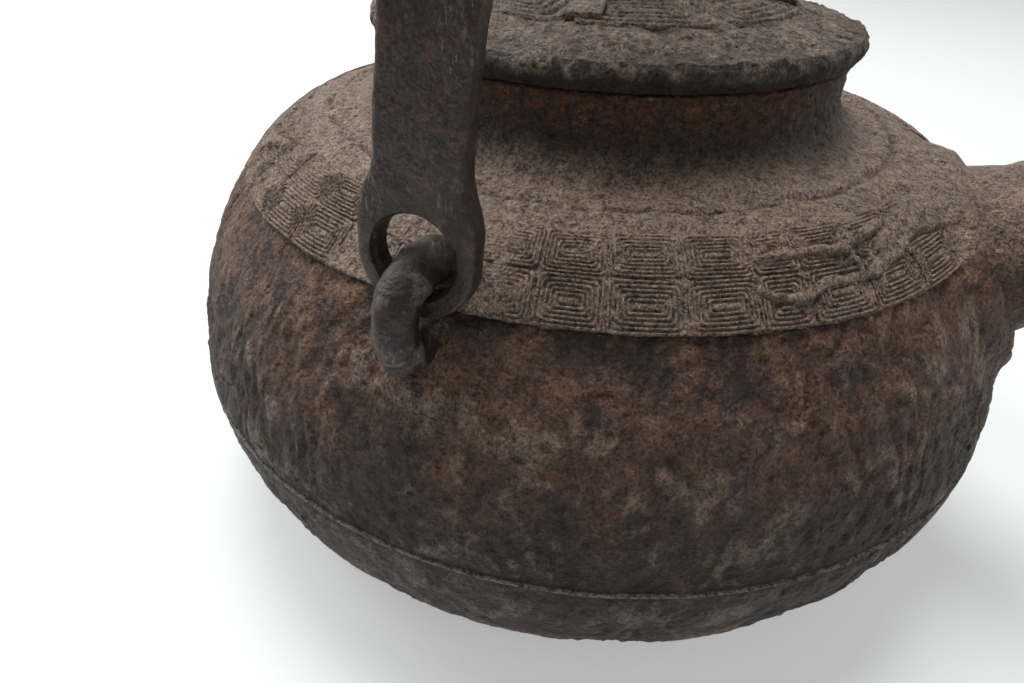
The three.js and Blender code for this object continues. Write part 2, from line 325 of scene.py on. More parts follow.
def bar_section(wide: float, deep: float, corner: float, count: int) -> list[Vector]:
    """Rounded rectangle as shares of its half width and half depth.

    Args:
        wide: Half width in mm.
        deep: Half depth in mm.
        corner: Radius of the corners in mm.
        count: Number of points, evenly spaced.

    Returns:
        The points.
    """
    points = []
    for quarter in range(4):
        x = (wide - corner) * (1 if quarter in (0, 3) else -1)
        y = (deep - corner) * (1 if quarter in (0, 1) else -1)
        for i in range(7):
            turn = math.radians(90 * quarter + 15 * i)
            points.append(Vector((x + corner * math.cos(turn), y + corner * math.sin(turn))))
    loop = Outline([*points, points[0]])
    spots = (loop.at(loop.length * i / count)[0] for i in range(count))
    return [Vector((p.x / wide, p.y / deep)) for p in spots]


def swept(stations: list[Station], section: list[Vector]) -> bmesh.types.BMesh:
    """Closed form that runs through its sections.

    Args:
        stations: Places of the sections, in order.
        section: Points of the section as shares.

    Returns:
        Mesh in mm.
    """
    bm = bmesh.new()
    bmesh.ops.create_circle(bm, cap_ends=True, segments=len(section), radius=1)
    bm.faces.ensure_lookup_table()
    face = bm.faces[0]
    for i, station in enumerate(stations):
        if i:
            face = drawn_out(bm, face, keep=i == 1)
        for vert, share in zip(face.verts, section):
            vert.co = station.place(share)
    bmesh.ops.recalc_face_normals(bm, faces=bm.faces)
    return bm


def carried(points: list[Vector], start_side: Vector) -> list[tuple[Vector, Vector, Vector]]:
    """Frames that run along a line without twist.

    Args:
        points: Points of the line.
        start_side: Rough direction of the first frame's side.

    Returns:
        Point, side and up for each point.
    """
    frames = []
    side = start_side
    for i, place in enumerate(points):
        along = (points[min(i + 1, len(points) - 1)] - points[max(i - 1, 0)]).normalized()
        side = (side - along * side.dot(along)).normalized()
        frames.append((place, side, along.cross(side)))
    return frames


def joined(whole: bmesh.types.BMesh, one: bmesh.types.BMesh) -> None:
    """Adds a mesh, freed here, to another."""
    mesh = bpy.data.meshes.new("one")
    one.to_mesh(mesh)
    one.free()
    whole.from_mesh(mesh)
    bpy.data.meshes.remove(mesh)


def pressed(
    width: float, height: float, rings: int, ridge: float, corner_power: float, sides: int, period: float
) -> bmesh.types.BMesh:
    """Flat pressed square in the XY plane, its nested ridges along +Z.

    Args:
        width: Full width in mm.
        height: Full height in mm.
        rings: Nested ridges; 0 gives a plain raised block.
        ridge: Height of a ridge in mm.
        corner_power: Squareness of the corners.
        sides: Points round it.
        period: Spacing of the ridges in mm.

    Returns:
        The closed mesh.
    """
    sunk = 0.9
    bm = bmesh.new()
    bmesh.ops.create_circle(bm, cap_ends=True, segments=sides, radius=1)
    reach = 2 / corner_power
    for vert in bm.verts:
        vert.co.x = math.copysign(abs(vert.co.x) ** reach, vert.co.x) * width / 2
        vert.co.y = math.copysign(abs(vert.co.y) ** reach, vert.co.y) * height / 2
    bmesh.ops.translate(bm, vec=(0, 0, -sunk), verts=bm.verts)
    steps = [(0.0, 0.0)]
    for ring in range(rings):
        start = ring * period
        steps += [
            (start + 0.1 * period, ridge * 0.8),
            (start + 0.32 * period, ridge),
            (start + 0.55 * period, ridge * 0.8),
            (start + 0.7 * period, 0.0),
            (start + 0.94 * period, 0.0),
        ]
    steps += [(rings * period + 0.15, ridge * 0.9)]
    if not rings:
        steps = [(0.05, ridge * 0.7), (0.4, ridge)]
    inset, level = 0.0, -sunk
    bm.faces.ensure_lookup_table()
    top = bm.faces[0]
    for depth, rise in steps:
        top = drawn_out(bm, top, keep=level == -sunk)
        grow = ((width / 2 - depth) / (width / 2 - inset), (height / 2 - depth) / (height / 2 - inset), 1)
        bmesh.ops.scale(bm, vec=grow, verts=top.verts)
        bmesh.ops.translate(bm, vec=(0, 0, rise - level), verts=top.verts)
        inset, level = depth, rise
    bmesh.ops.recalc_face_normals(bm, faces=bm.faces)
    return bm


def close(bm: bmesh.types.BMesh) -> None:
    """Merges what lies together and turns all faces outwards."""
    bmesh.ops.remove_doubles(bm, verts=bm.verts, dist=1e-3)
    bmesh.ops.recalc_face_normals(bm, faces=bm.faces)


def weather(
    bm: bmesh.types.BMesh,
    relief: Callable[[Vector], float],
    span: float,
    form: Callable[[Vector], float] | None = None,
) -> None:
    """Moves the surface along its normals and notes how far in the crest attribute.

    Args:
        bm: Mesh in mm.
        relief: Gives the outward move in mm at a point, from casting and wear.
        span: Move in mm that counts as a full ridge.
        form: Gives a further move that belongs to the form and leaves the crest alone.
    """
    skin = bm.verts.layers.float.get(SKIN)
    crest = bm.verts.layers.float.new(CREST)
    bm.normal_update()
    moves = []
    for vert in bm.verts:
        if skin is not None and vert[skin] < 0.5:
            moves.append(0.0)
            vert[crest] = 0.5
            continue
        move = relief(vert.co)
        vert[crest] = min(1.0, max(0.0, 0.5 + move / (2 * span)))
        moves.append(move + (form(vert.co) if form else 0.0))
    for vert, move in zip(bm.verts, moves):
        vert.co += vert.normal * move


def finished(
    bm: bmesh.types.BMesh,
    name: str,
    finish: bpy.types.Material,
    body: Body,
    slot: Slot,
    nodes: tuple[str, ...] = (),
) -> bpy.types.Object:
    """Makes a mesh in mm a finished piece of the kettle.

    Args:
        bm: Closed mesh in mm, freed here.
        name: Name of the piece.
        finish: Its material.
        body: Body that it rides on.
        slot: Slot of the record that its finish belongs to; not used.
        nodes: CAD nodes that it stands for.

    Returns:
        The piece.
    """
    bmesh.ops.scale(bm, vec=(MM, MM, MM), verts=bm.verts)
    for face in bm.faces:
        face.smooth = True
    mesh = bpy.data.meshes.new(name)
    bm.to_mesh(mesh)
    bm.free()
    mesh.materials.append(finish)
    piece = bpy.data.objects.new(name, mesh)
    bpy.context.scene.collection.objects.link(piece)
    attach(piece, body.value)
    if nodes:
        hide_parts(*nodes)
    mesh.calc_loop_triangles()
    log.info("%s: %d triangles on %s", name, len(mesh.loop_triangles), body.value)
    return piece


def cutter(bm: bmesh.types.BMesh) -> bpy.types.Object:
    """Makes a closed mesh a cutting tool in metres.

    Args:
        bm: Mesh in mm, freed here.

    Returns:
        The object that cuts.
    """
    bmesh.ops.scale(bm, vec=(MM, MM, MM), verts=bm.verts)
    mesh = bpy.data.meshes.new("cutter")
    bm.to_mesh(mesh)
    bm.free()
    made = bpy.data.objects.new("cutter", mesh)
    bpy.context.scene.collection.objects.link(made)
    return made


def bored(piece: bpy.types.Object, tool: bpy.types.Object) -> None:
    """Cuts a tool's form out of a piece.

    Args:
        piece: Finished piece.
        tool: Closed mesh object in metres.
    """
    cut = piece.modifiers.new("bore", "BOOLEAN")
    cut.operation = "DIFFERENCE"
    cut.solver = "MANIFOLD"
    cut.object = tool
    graph = bpy.context.evaluated_depsgraph_get()
    mesh = bpy.data.meshes.new_from_object(piece.evaluated_get(graph))
    piece.modifiers.remove(cut)
    piece.data = mesh
    log.info("%s: bored, %d faces", piece.name, len(mesh.polygons))


# Finishes


def add_node(
    tree: bpy.types.NodeTree,
    kind: str,
    inputs: dict | None = None,
    stops: tuple[tuple[float, str], ...] = (),
    **settings: object,
) -> bpy.types.Node:
    """Adds a node to a material.

    Args:
        tree: The material's node tree.
        kind: Type of the node.
        inputs: Values and links by socket name or number; a socket here is linked.
        stops: Places and colours of a colour ramp.
        settings: The node's own settings.

    Returns:
        The node.
    """
    node = tree.nodes.new(kind)
    for name, value in settings.items():
        setattr(node, name, value)
    for name, value in (inputs or {}).items():
        if isinstance(value, bpy.types.NodeSocket):
            tree.links.new(value, node.inputs[name])
        else:
            node.inputs[name].default_value = value
    if stops:
        ramp = node.color_ramp
        while len(ramp.elements) < len(stops):
            ramp.elements.new(0.5)
        for element, (place, colour) in zip(ramp.elements, stops):
            element.position = place
            element.color = linear(colour)
    return node


@dataclass
class Patina:
    """A finish's colour while its tones are laid over each other.

    Attributes:
        tree: The material's node tree.
        place: Object coordinates.
        colour: Colour so far.
    """

    tree: bpy.types.NodeTree
    place: bpy.types.NodeSocket
    colour: bpy.types.NodeSocket | None = None

    def given(
        self, kind: str, inputs: dict | None = None, out: int | str = 0, **settings: object
    ) -> bpy.types.NodeSocket:
        """Adds a node and takes one of its outputs.

        Args:
            kind: Type of the node.
            inputs: Values and links by socket name or number.
            out: Name or number of the output.
            settings: The node's own settings.

        Returns:
            The output.
        """
        return add_node(self.tree, kind, inputs, **settings).outputs[out]

    def patches(
        self, size: float, detail: float, seed: float = 0.0, place: bpy.types.NodeSocket | None = None
    ) -> bpy.types.NodeSocket:
        """Cloudy patches that grain, stains and drifts of dust follow.

        Args:
            size: Size in mm of the largest.
            detail: Number of ever finer layers.
            seed: Number of the pattern.
            place: Coordinates, where they aren't the plain ones.

        Returns:
            Value of about 0 to 1.
        """
        vector = self.place if place is None else place
        inputs = {"Vector": vector, "W": seed, "Scale": 1 / (size * MM), "Detail": detail}
        inputs["Roughness"] = 0.62
        return self.given("ShaderNodeTexNoise", inputs, "Fac", noise_dimensions="4D")

    def within(self, value: bpy.types.NodeSocket, low: float, high: float) -> bpy.types.NodeSocket:
        """Share that grows smoothly from 0 at `low` to 1 at `high`."""
        inputs = {"Value": value, "From Min": low, "From Max": high}
        return self.given("ShaderNodeMapRange", inputs, "Result", interpolation_type="SMOOTHSTEP")

    def lay(
        self, tone: str | bpy.types.NodeSocket, *shares: bpy.types.NodeSocket | float, mode: str = "MIX"
    ) -> None:
        """Lays a tone over the colour so far.

        Args:
            tone: Hex colour, or a socket that gives one.
            shares: How much of it shows, each from 0 to 1 and all multiplied.
            mode: How it is laid on.
        """
        share = shares[0]
        for more in shares[1:]:
            share = self.given("ShaderNodeMath", {0: share, 1: more}, operation="MULTIPLY")
        over = linear(tone) if isinstance(tone, str) else tone
        inputs = {0: share, 6: self.colour, 7: over}
        self.colour = self.given("ShaderNodeMix", inputs, 2, data_type="RGBA", blend_type=mode)

    def drifted(self, value: bpy.types.NodeSocket, size: float, reach: float) -> bpy.types.NodeSocket:
        """Makes a level wander.

        Args:
            value: The level in metres.
            size: Size in mm of its waves.
            reach: How far in mm it wanders.

        Returns:
            The wandering level.
        """
        wave = self.patches(size, 3)
        return self.given("ShaderNodeMath", {0: wave, 1: reach * MM, 2: value}, operation="MULTIPLY_ADD")


@dataclass(frozen=True)
class Iron:
    """Iron with a patina of its own, from tones that lie over each other.

    To the eye it is a dark metal that hardly mirrors: brown and black patches, rusty sand in clusters,
    painted shade in the hollows, ridges paler partly from rubbing and partly from a painted highlight,
    and a sandy grain that breaks up every light, its tones partly painted shade and light. Moulding
    sand is finer than the grain drawn here, which is as coarse as it needs to be to show.

    Attributes:
        name: What the metal is and how its surface was made.
        deep: Darkest tone, at the dark end of the patches and as painted shade in pits and hollows.
        ground: Main tone.
        fair: Tone of the plain patches that are worn or dusty.
        rust: Tone of the rusty sand in clusters.
        worn: Tone of rubbed ridges and scrapes; on the ridges it is partly a painted highlight, and on the
            highest grains it is a painted glint.
        grain: Size of the sand grain in mm.
        bump: Height of the grain in mm.
        patch: Size of the tone patches in mm.
        rust_share: Share of the surface that is rusty, 0 to 1.
        stretch: Height of a streak over its width.
        speckle: Contrast of the grain's tones, 0 to 1: partly the sand's colour, partly painted shade in the
            low grains and painted light on the high ones.
        glint: Share of painted glint, in the worn tone, on the highest grains.
        scratch: Share of rubbed tone in short scrapes.
        roughness: Roughness of the plain surface.
        metallic: Share of bare metal.
    """

    name: str
    deep: str = "#1d120e"
    ground: str = "#44302a"
    fair: str = "#5b4133"
    rust: str = "#775136"
    worn: str = "#998472"
    grain: float = 0.4
    bump: float = 0.62
    patch: float = 17.0
    rust_share: float = 0.3
    stretch: float = 1.5
    speckle: float = 1.0
    glint: float = 0.6
    scratch: float = 0.0
    roughness: float = 0.58
    metallic: float = 0.05

    def zones(self, coat: Patina) -> None:
        """Lays the tones that only one finish has; none on plain iron."""

    def scrapes(self, coat: Patina, place: bpy.types.NodeSocket) -> None:
        """Lays clusters of short pale scrapes.

        Args:
            coat: Colour so far.
            place: Coordinates in metres.
        """
        aslant = {"Vector": place, "Rotation": (0.6, 0.9, 0.4), "Scale": (1, 1, 0.55)}
        scrape = coat.patches(0.6, 3, 9, coat.given("ShaderNodeMapping", aslant))
        cluster = coat.patches(8.0, 3, 10, place)
        coat.lay(self.worn, coat.within(scrape, 0.54, 0.62), coat.within(cluster, 0.5, 0.62), self.scratch)

    def material(self) -> bpy.types.Material:
        """Builds the material.

        Returns:
            The material, which reads Object coordinates and the crest attribute.
        """
        made = bpy.data.materials.new(self.name)
        made.use_nodes = True
        tree = made.node_tree
        tree.nodes.clear()
        coat = Patina(tree, add_node(tree, "ShaderNodeTexCoord").outputs["Object"])
        streaky = coat.given("ShaderNodeMapping", {"Vector": coat.place, "Scale": (1, 1, 1 / self.stretch)})
        crest = coat.given("ShaderNodeAttribute", out="Fac", attribute_name=CREST)
        broad = coat.patches(self.patch, 4, 1, streaky)
        mottle = coat.patches(self.patch * 0.33, 5, 2, streaky)
        small = coat.patches(self.grain * 4.6, 5, 3)
        sand = coat.patches(self.grain * 2.1, 4, 4)
        grain = coat.patches(self.grain, 3, 5)

        tone = coat.given("ShaderNodeMath", {0: broad, 1: 0.8, 2: mottle}, operation="MULTIPLY_ADD")
        stops = ((0.56, self.deep), (0.8, self.ground), (1.0, self.fair))
        coat.colour = coat.given("ShaderNodeValToRGB", {0: tone}, stops=stops)
        clean = 0.6 - 0.25 * self.rust_share
        clusters = coat.within(coat.patches(self.patch * 0.75, 4, 6, streaky), clean, clean + 0.12)
        coat.lay(self.rust, clusters, coat.within(sand, 0.42, 0.58), 0.7)
        self.zones(coat)
        # Paler tone on the ridges: partly rubbing, partly a painted highlight.
        coat.lay(self.worn, coat.within(crest, 0.6, 0.95), 0.55)
        # Painted shade in the hollows.
        coat.lay(self.deep, coat.within(crest, 0.4, 0.0), 0.42)
        # Grain tone from the same heights as the bump: partly the sand's colour, partly painted shade in the
        # low grains and painted light on the high ones.
        mixed = coat.given("ShaderNodeMath", {0: sand, 1: 0.8, 2: grain}, operation="MULTIPLY_ADD")
        mixed = coat.given("ShaderNodeMath", {0: small, 1: 0.5, 2: mixed}, operation="MULTIPLY_ADD")
        inputs = {"Value": mixed, "From Min": 0.95, "From Max": 1.35, "To Min": 0.06, "To Max": 0.94}
        coat.lay(coat.given("ShaderNodeMapRange", inputs, "Result"), self.speckle, mode="OVERLAY")
        # Painted glints: pale specks of the worn tone on the highest grains.
        coat.lay(self.worn, coat.within(grain, 0.6, 0.7), coat.within(small, 0.48, 0.6), self.glint)
        if self.scratch:
            self.scrapes(coat, streaky)

        normal = coat.given("ShaderNodeBump", {"Height": grain, "Distance": self.bump * MM, "Strength": 1.0})
        for height, coarser in ((sand, 2.2), (small, 3.6)):
            inputs = {"Height": height, "Distance": self.bump * coarser * MM, "Strength": 1.0}
            normal = coat.given("ShaderNodeBump", inputs | {"Normal": normal})
        inputs = {"Value": mottle, "To Min": self.roughness + 0.15, "To Max": self.roughness - 0.15}
        shine = coat.given("ShaderNodeMapRange", inputs, "Result")
        inputs = {"Base Color": coat.colour, "Metallic": self.metallic, "Roughness": shine, "Normal": normal}
        surface = coat.given("ShaderNodeBsdfPrincipled", inputs)
        add_node(tree, "ShaderNodeOutputMaterial", {"Surface": surface})
        return made


@dataclass(frozen=True)
class SandCastIron(Iron):
    """Sand-cast iron of the kettle's body: brown, paler and dusty on the shoulder, rusty below the lid.

    Heights are in mm above the kettle's base.

    Attributes:
        low_shade: Tone of the painted shade that darkens the lower wall and the bowl.
        low_shade_from: Height at which the painted shade starts.
        low_shade_full: Height at which it is full.
        ochre: Tone of the sandy rust on the upper wall.
        ochre_from: Height at which the sandy rust starts.
        ochre_full: Height at which it is full.
        dust: Tone of the dusty shoulder.
        dust_from: Height at which the dust starts.
        dust_full: Height at which it covers.
        neck_shade: Tone of the painted shade on the neck under the lid.
        neck_shade_from: Height at which the painted shade on the neck starts.
        run: Tone of the rusty run under the lid.
        run_from: Height at which the run starts.
        seam_height: Height of the parting fin.
        seam_tone: Tone of the fin's rubbed edge.
        wander: How far the zones' edges wander.
    """

    low_shade: str = "#1c1614"
    low_shade_from: float = 72.0
    low_shade_full: float = 44.0
    ochre: str = "#8a6750"
    ochre_from: float = 56.0
    ochre_full: float = 84.0
    dust: str = "#9f8b7a"
    dust_from: float = 84.0
    dust_full: float = 93.0
    neck_shade: str = "#2e1b11"
    neck_shade_from: float = 94.4
    run: str = "#74482c"
    run_from: float = 99.0
    seam_height: float = 43.0
    seam_tone: str = "#a39d90"
    wander: float = 9.0

    def zones(self, coat: Patina) -> None:
        """Lays the painted shade of the lower wall and bowl, the sandy rust, the dust, the painted shade on
        the neck, the rusty run and the rubbed fin.

        Args:
            coat: Patina to lay them on.
        """
        height = coat.given("ShaderNodeSeparateXYZ", {0: coat.place}, "Z")
        wandering = coat.drifted(height, 9.0, self.wander)
        fleck = coat.patches(1.6, 3)

        def above(start: float, full: float) -> bpy.types.NodeSocket:
            """Share that grows between two heights, half of the wandering allowed for."""
            level = self.wander / 2
            return coat.within(wandering, (start + level) * MM, (full + level) * MM)

        # Painted shade: darker from the lower wall down to the bowl.
        coat.lay(self.low_shade, coat.within(wandering, self.low_shade_from * MM, self.low_shade_full * MM), 0.55)
        sandy = coat.within(coat.patches(6.0, 4, 8), 0.4, 0.6)
        coat.lay(self.ochre, sandy, coat.within(wandering, self.ochre_from * MM, self.ochre_full * MM), 0.6)
        coat.lay(self.dust, above(self.dust_from, self.dust_full), 0.7)
        # Painted shade on the neck under the lid.
        coat.lay(self.neck_shade, above(self.neck_shade_from, self.neck_shade_from + 6), 0.85)
        coat.lay(self.run, above(self.run_from, self.run_from + 8.5), coat.within(fleck, 0.42, 0.6))
        off = coat.given("ShaderNodeMath", {0: height, 1: self.seam_height * MM}, operation="SUBTRACT")
        off = coat.given("ShaderNodeMath", {0: off}, operation="ABSOLUTE")
        coat.lay(self.seam_tone, coat.within(off, 0.5 * MM, 0.2 * MM), coat.within(fleck, 0.3, 0.5), 0.7)


@dataclass(frozen=True)
class LidIron(Iron):
    """Sand-cast lid: taupe and dusty on top, burnt black along the lower rim.

    Attributes:
        burnt: Tone of the blackened rim.
        burnt_full: Height in mm up to which the rim is black.
        burnt_to: Height at which the black ends.
    """

    deep: str = "#281e19"
    ground: str = "#64554a"
    fair: str = "#7f6f61"
    rust: str = "#6a4a37"
    worn: str = "#978a80"
    grain: float = 0.42
    bump: float = 0.55
    patch: float = 10.0
    rust_share: float = 0.12
    stretch: float = 1.0
    roughness: float = 0.68
    metallic: float = 0.12
    burnt: str = "#231c1a"
    burnt_full: float = 107.2
    burnt_to: float = 109.0

    def zones(self, coat: Patina) -> None:
        """Blackens the rim up to a wavy line."""
        height = coat.given("ShaderNodeSeparateXYZ", {0: coat.place}, "Z")
        wavy = coat.drifted(height, 7.0, -6.0)
        coat.lay(self.burnt, coat.within(wavy, self.burnt_to * MM, self.burnt_full * MM), 0.9)


# Kettle body


@dataclass
class Casting:
    """The kettle's body: bowl, wall, shoulder and neck in one casting, with the raised fret band.

    Attributes:
        base_radius: Radius of the flat base.
        seam_radius: Radius at the parting seam.
        seam_height: Height of the seam.
        shoulder_radius: Radius at the top of the shoulder.
        shoulder_height: Height of the top of the shoulder.
        wall_power: Power of the wall's curve.
        wall: Thickness of the metal.
        fin_proud: Reach of the parting fin.
        band_bottom: Height of the fret band's lower edge.
        band_top: Height of its upper edge.
        band_proud: How far its ground stands out.
        neck_radius: Radius of the neck.
        neck_flare: How much the rim is wider.
        neck_rise: Height of the rim above the shoulder.
        mouth_radius: Radius of the mouth.
        sides: Steps in the full turn.
        pitch: Spacing of the wall's rings in mm.
        bowl_pitch: Spacing of the bowl's rings.
        shoulder_sides: Steps in the shoulder's full turn.
        shoulder_pitch: Spacing of the shoulder's rings.
        inner_pitch: Spacing of the rings inside.
        crest_span: Move in mm that shows as a full ridge.
        calm_angle: Angle of the part of the wall with few tool strokes.
        calm_width: Half its width in degrees.
        ring_radius: Radius of the broken ring at the shoulder's top.
        ring_width: From the ring's ridge to its groove.
        relief_in: Deepest that the wall's skin goes.
        relief_out: Highest that it stands.
        widest: Radius that nothing of the wall passes.
    """

    base_radius: float = 52.0
    seam_radius: float = 94.4
    seam_height: float = 43.0
    shoulder_radius: float = 60.0
    shoulder_height: float = 94.2
    wall_power: float = 1.75
    wall: float = 3.8
    fin_proud: float = 0.55
    band_bottom: float = 82.5
    band_top: float = 92.4
    band_proud: float = 0.35
    neck_radius: float = 48.6
    neck_flare: float = 0.6
    neck_rise: float = 14.1
    mouth_radius: float = 44.2
    sides: int = 1000
    pitch: float = 0.68
    bowl_pitch: float = 0.884
    shoulder_sides: int = 896
    shoulder_pitch: float = 0.5
    inner_pitch: float = 5.0
    crest_span: float = 0.6
    calm_angle: float = 8.0
    calm_width: float = 17.0
    ring_radius: float = 59.2
    ring_width: float = 1.7
    relief_in: float = 0.55
    relief_out: float = 0.5
    widest: float = 94.93

    @property
    def rim_height(self) -> float:
        """Height of the mouth's rim."""
        return self.shoulder_height + self.neck_rise

    def wall_radius(self, height: float) -> float:
        """Outer radius of the plain wall above the seam."""
        share = (height - self.seam_height) / (self.shoulder_height - self.seam_height)
        across = (1 - min(1.0, share) ** self.wall_power) ** (1 / self.wall_power)
        return self.shoulder_radius + (self.seam_radius - self.shoulder_radius) * across

    def bowl(self, inset: float) -> list[Vector]:
        """Bowl's side from the base to the seam, moved inwards by `inset`."""
        centre = Vector((self.base_radius, self.seam_height))
        across = self.seam_radius - self.base_radius - inset
        arc = super_arc(centre, across, self.seam_height - inset, 2, (90, 0), 60)
        return [Vector((p.x, 2 * self.seam_height - p.y)) for p in arc]

    def upper(self, inset: float) -> list[Vector]:
        """Wall from the seam to the top of the shoulder, moved inwards by `inset`."""
        centre = Vector((self.shoulder_radius, self.seam_height))
        across = self.seam_radius - self.shoulder_radius - inset
        up = self.shoulder_height - self.seam_height - inset
        return super_arc(centre, across, up, self.wall_power, (0, 90), 160)

    def neck(self) -> list[Vector]:
        """Neck from the top of the shoulder to the rim."""
        shoulder = Vector((self.shoulder_radius, self.shoulder_height))
        corner = Vector((self.neck_radius + self.neck_flare, self.shoulder_height + 0.05 * self.neck_rise))
        throat = Vector((self.neck_radius, self.shoulder_height + 0.6 * self.neck_rise))
        curve = []
        for i in range(1, 25):
            t = i / 24
            curve.append(shoulder * (1 - t) ** 2 + corner * 2 * t * (1 - t) + throat * t * t)
        return curve + [
            Vector((self.neck_radius + 0.4 * self.neck_flare, self.rim_height - 1.6)),
            Vector((self.neck_radius + self.neck_flare, self.rim_height - 0.3)),
        ]

    def shoulder_line(self) -> Outline:
        """Outer line from the band's lower edge over the shoulder to the rim."""
        wall = [p for p in self.upper(0) if p.y > self.band_bottom]
        start = Vector((self.wall_radius(self.band_bottom), self.band_bottom))
        return Outline([start, *wall, *self.neck()])

    def band_length(self) -> float:
        """Width of the fret band along the shoulder."""
        line = self.shoulder_line()
        steps = (line.length * i / 400 for i in range(401))
        return next(s for s in steps if line.at(s)[0].y > self.band_top)

    def wall_relief(self, place: Vector) -> float:
        """Lumps, upright tool strokes, pits and sand of the wall.

        Where the lying strap passes, the skin keeps inside the plain wall.

        Args:
            place: Point on the plain wall.

        Returns:
            Height in mm outwards.
        """
        drift = (rough(place, 18, 1, 1, 1.0), rough(place, 18, 1, 1, 2.0), rough(place, 14, 1, 1, 3.0))
        spot = place + Vector(drift) * 5
        lumps = 0.3 * rough(spot, 11, 2, 1.2) + 0.36 * rough(spot, 5.5, 2, 1.2, 29.0)
        stroke = 1 - blend(0.0, 0.34, abs(rough(spot, 5.2, 2, 2.8, 7.0)))
        calm = math.exp(-(((angle_of(place) - self.calm_angle) / self.calm_width) ** 2))
        strength = blend(-0.5, 0.2, rough(place, 40, 2, 1, 3.0)) * (1 - 0.8 * calm)
        knobbly = 0.3 * rough(spot, 2.6, 3, 1.2, 19.0)
        pits = 0.4 * dimple(spot, 2.3, 5.0) * blend(-0.15, 0.3, rough(place, 16, 2, 1, 13.0))
        sand = 0.22 * rough(place, 1.3, 2, 1, 11.0)
        edge = blend(0.4, 5.0, place.z)
        seam = 0.4 + 0.6 * blend(0.3, 2.5, abs(place.z - self.seam_height))
        swept_over = blend(72.0, 80.0, place.z) * blend(62.0, 46.0, abs(place.x))
        under_eye = 0.3 * blend(76.0, 80.0, place.z) * blend(16.0, 9.0, abs(place.x))
        height = lumps + knobbly - 0.55 * stroke * strength + pits + sand + 0.22
        highest = self.relief_out - 0.55 * swept_over
        height = max(-self.relief_in, min(highest, height - 0.3 * swept_over))
        return (height - under_eye) * edge * seam

    def shoulder_relief(self, place: Vector) -> float:
        """Wrinkled skin of the shoulder and neck, and the broken ring between them.

        Args:
            place: Point on the plain shoulder or neck.

        Returns:
            Height in mm outwards.
        """
        radius = math.hypot(place.x, place.y)
        skin = 0.3 * rough(place, 8, 3, 0.7, 5.0) + 0.3 * rough(place, 2.4, 3, 0.5, 9.0) - 0.05
        waver = radius + 0.9 * rough(place, 8, 4, 1, 15.0)
        broken = blend(-0.7, 0.1, rough(place, 5, 3, 1, 17.0))
        off = waver - self.ring_radius
        ridge = 0.5 * math.exp(-((off / 0.8) ** 2)) * (0.6 + rough(place, 3, 2, 1, 18.0))
        groove = 0.9 * math.exp(-(((off - self.ring_width) / 0.6) ** 2)) * broken
        return skin + ridge - groove

    def held_in(self, bm: bmesh.types.BMesh) -> bmesh.types.BMesh:
        """Rubs off what would stand past the widest radius or below the base."""
        for vert in bm.verts:
            reach = math.hypot(vert.co.x, vert.co.y)
            if reach > self.widest:
                vert.co.xy *= self.widest / reach
            vert.co.z = max(0.0, vert.co.z)
        return bm

    def build_bowl(self) -> bmesh.types.BMesh:
        """Base, bowl and the parting fin.

        Returns:
            Closed mesh in mm.
        """
        seam = self.seam_height
        low = [p for p in Outline(self.bowl(0)).spaced(self.bowl_pitch) if p.y < seam - 0.6]
        base = [Vector((self.base_radius * i / 5, 0)) for i in range(5)]
        fin = [
            Vector((self.seam_radius, seam - 0.4)),
            Vector((self.seam_radius + self.fin_proud, seam - 0.12)),
            Vector((self.seam_radius + self.fin_proud, seam + 0.12)),
            Vector((self.seam_radius - 0.2, seam + 0.4)),
            Vector((self.seam_radius - 2.6, seam + 0.6)),
        ]
        inner = Outline(self.bowl(self.wall)).spaced(self.inner_pitch)
        inside = [Vector((inner[-1].x, seam + 0.6)), *reversed(inner), Vector((0, self.wall))]
        bm = turned([*base, *low, *fin], inside, self.sides)
        weather(bm, self.wall_relief, self.crest_span)
        return self.held_in(bm)

    def build_wall(self, swell: Callable[[Vector], float]) -> bmesh.types.BMesh:
        """Wall from the seam up to just under the fret band.

        Args:
            swell: Swell at the spout's root, in mm outwards.

        Returns:
            Closed mesh in mm.
        """
        ceiling = self.band_bottom + 1.4  # tucked up behind the band
        rows = Outline(self.upper(0)).spaced(self.pitch)
        high = [p for p in rows if self.seam_height + 0.5 < p.y < self.band_bottom - 0.3]
        foot = Vector((self.seam_radius - 2.6, self.seam_height - 0.3))
        start = Vector((self.seam_radius, self.seam_height + 0.1))
        top = Vector((self.wall_radius(self.band_bottom), self.band_bottom))
        tucked = Vector((self.wall_radius(ceiling) - 0.4, ceiling))
        inner = Outline([p for p in self.upper(self.wall) if p.y < self.band_bottom])
        inner = inner.spaced(self.inner_pitch)
        inside = [Vector((inner[-1].x, ceiling)), *reversed(inner)]
        inside.append(Vector((inner[0].x, self.seam_height - 0.3)))
        bm = turned([foot, start, *high, top, tucked], inside, self.sides, ring=True)
        weather(bm, self.wall_relief, self.crest_span, swell)
        return self.held_in(bm)

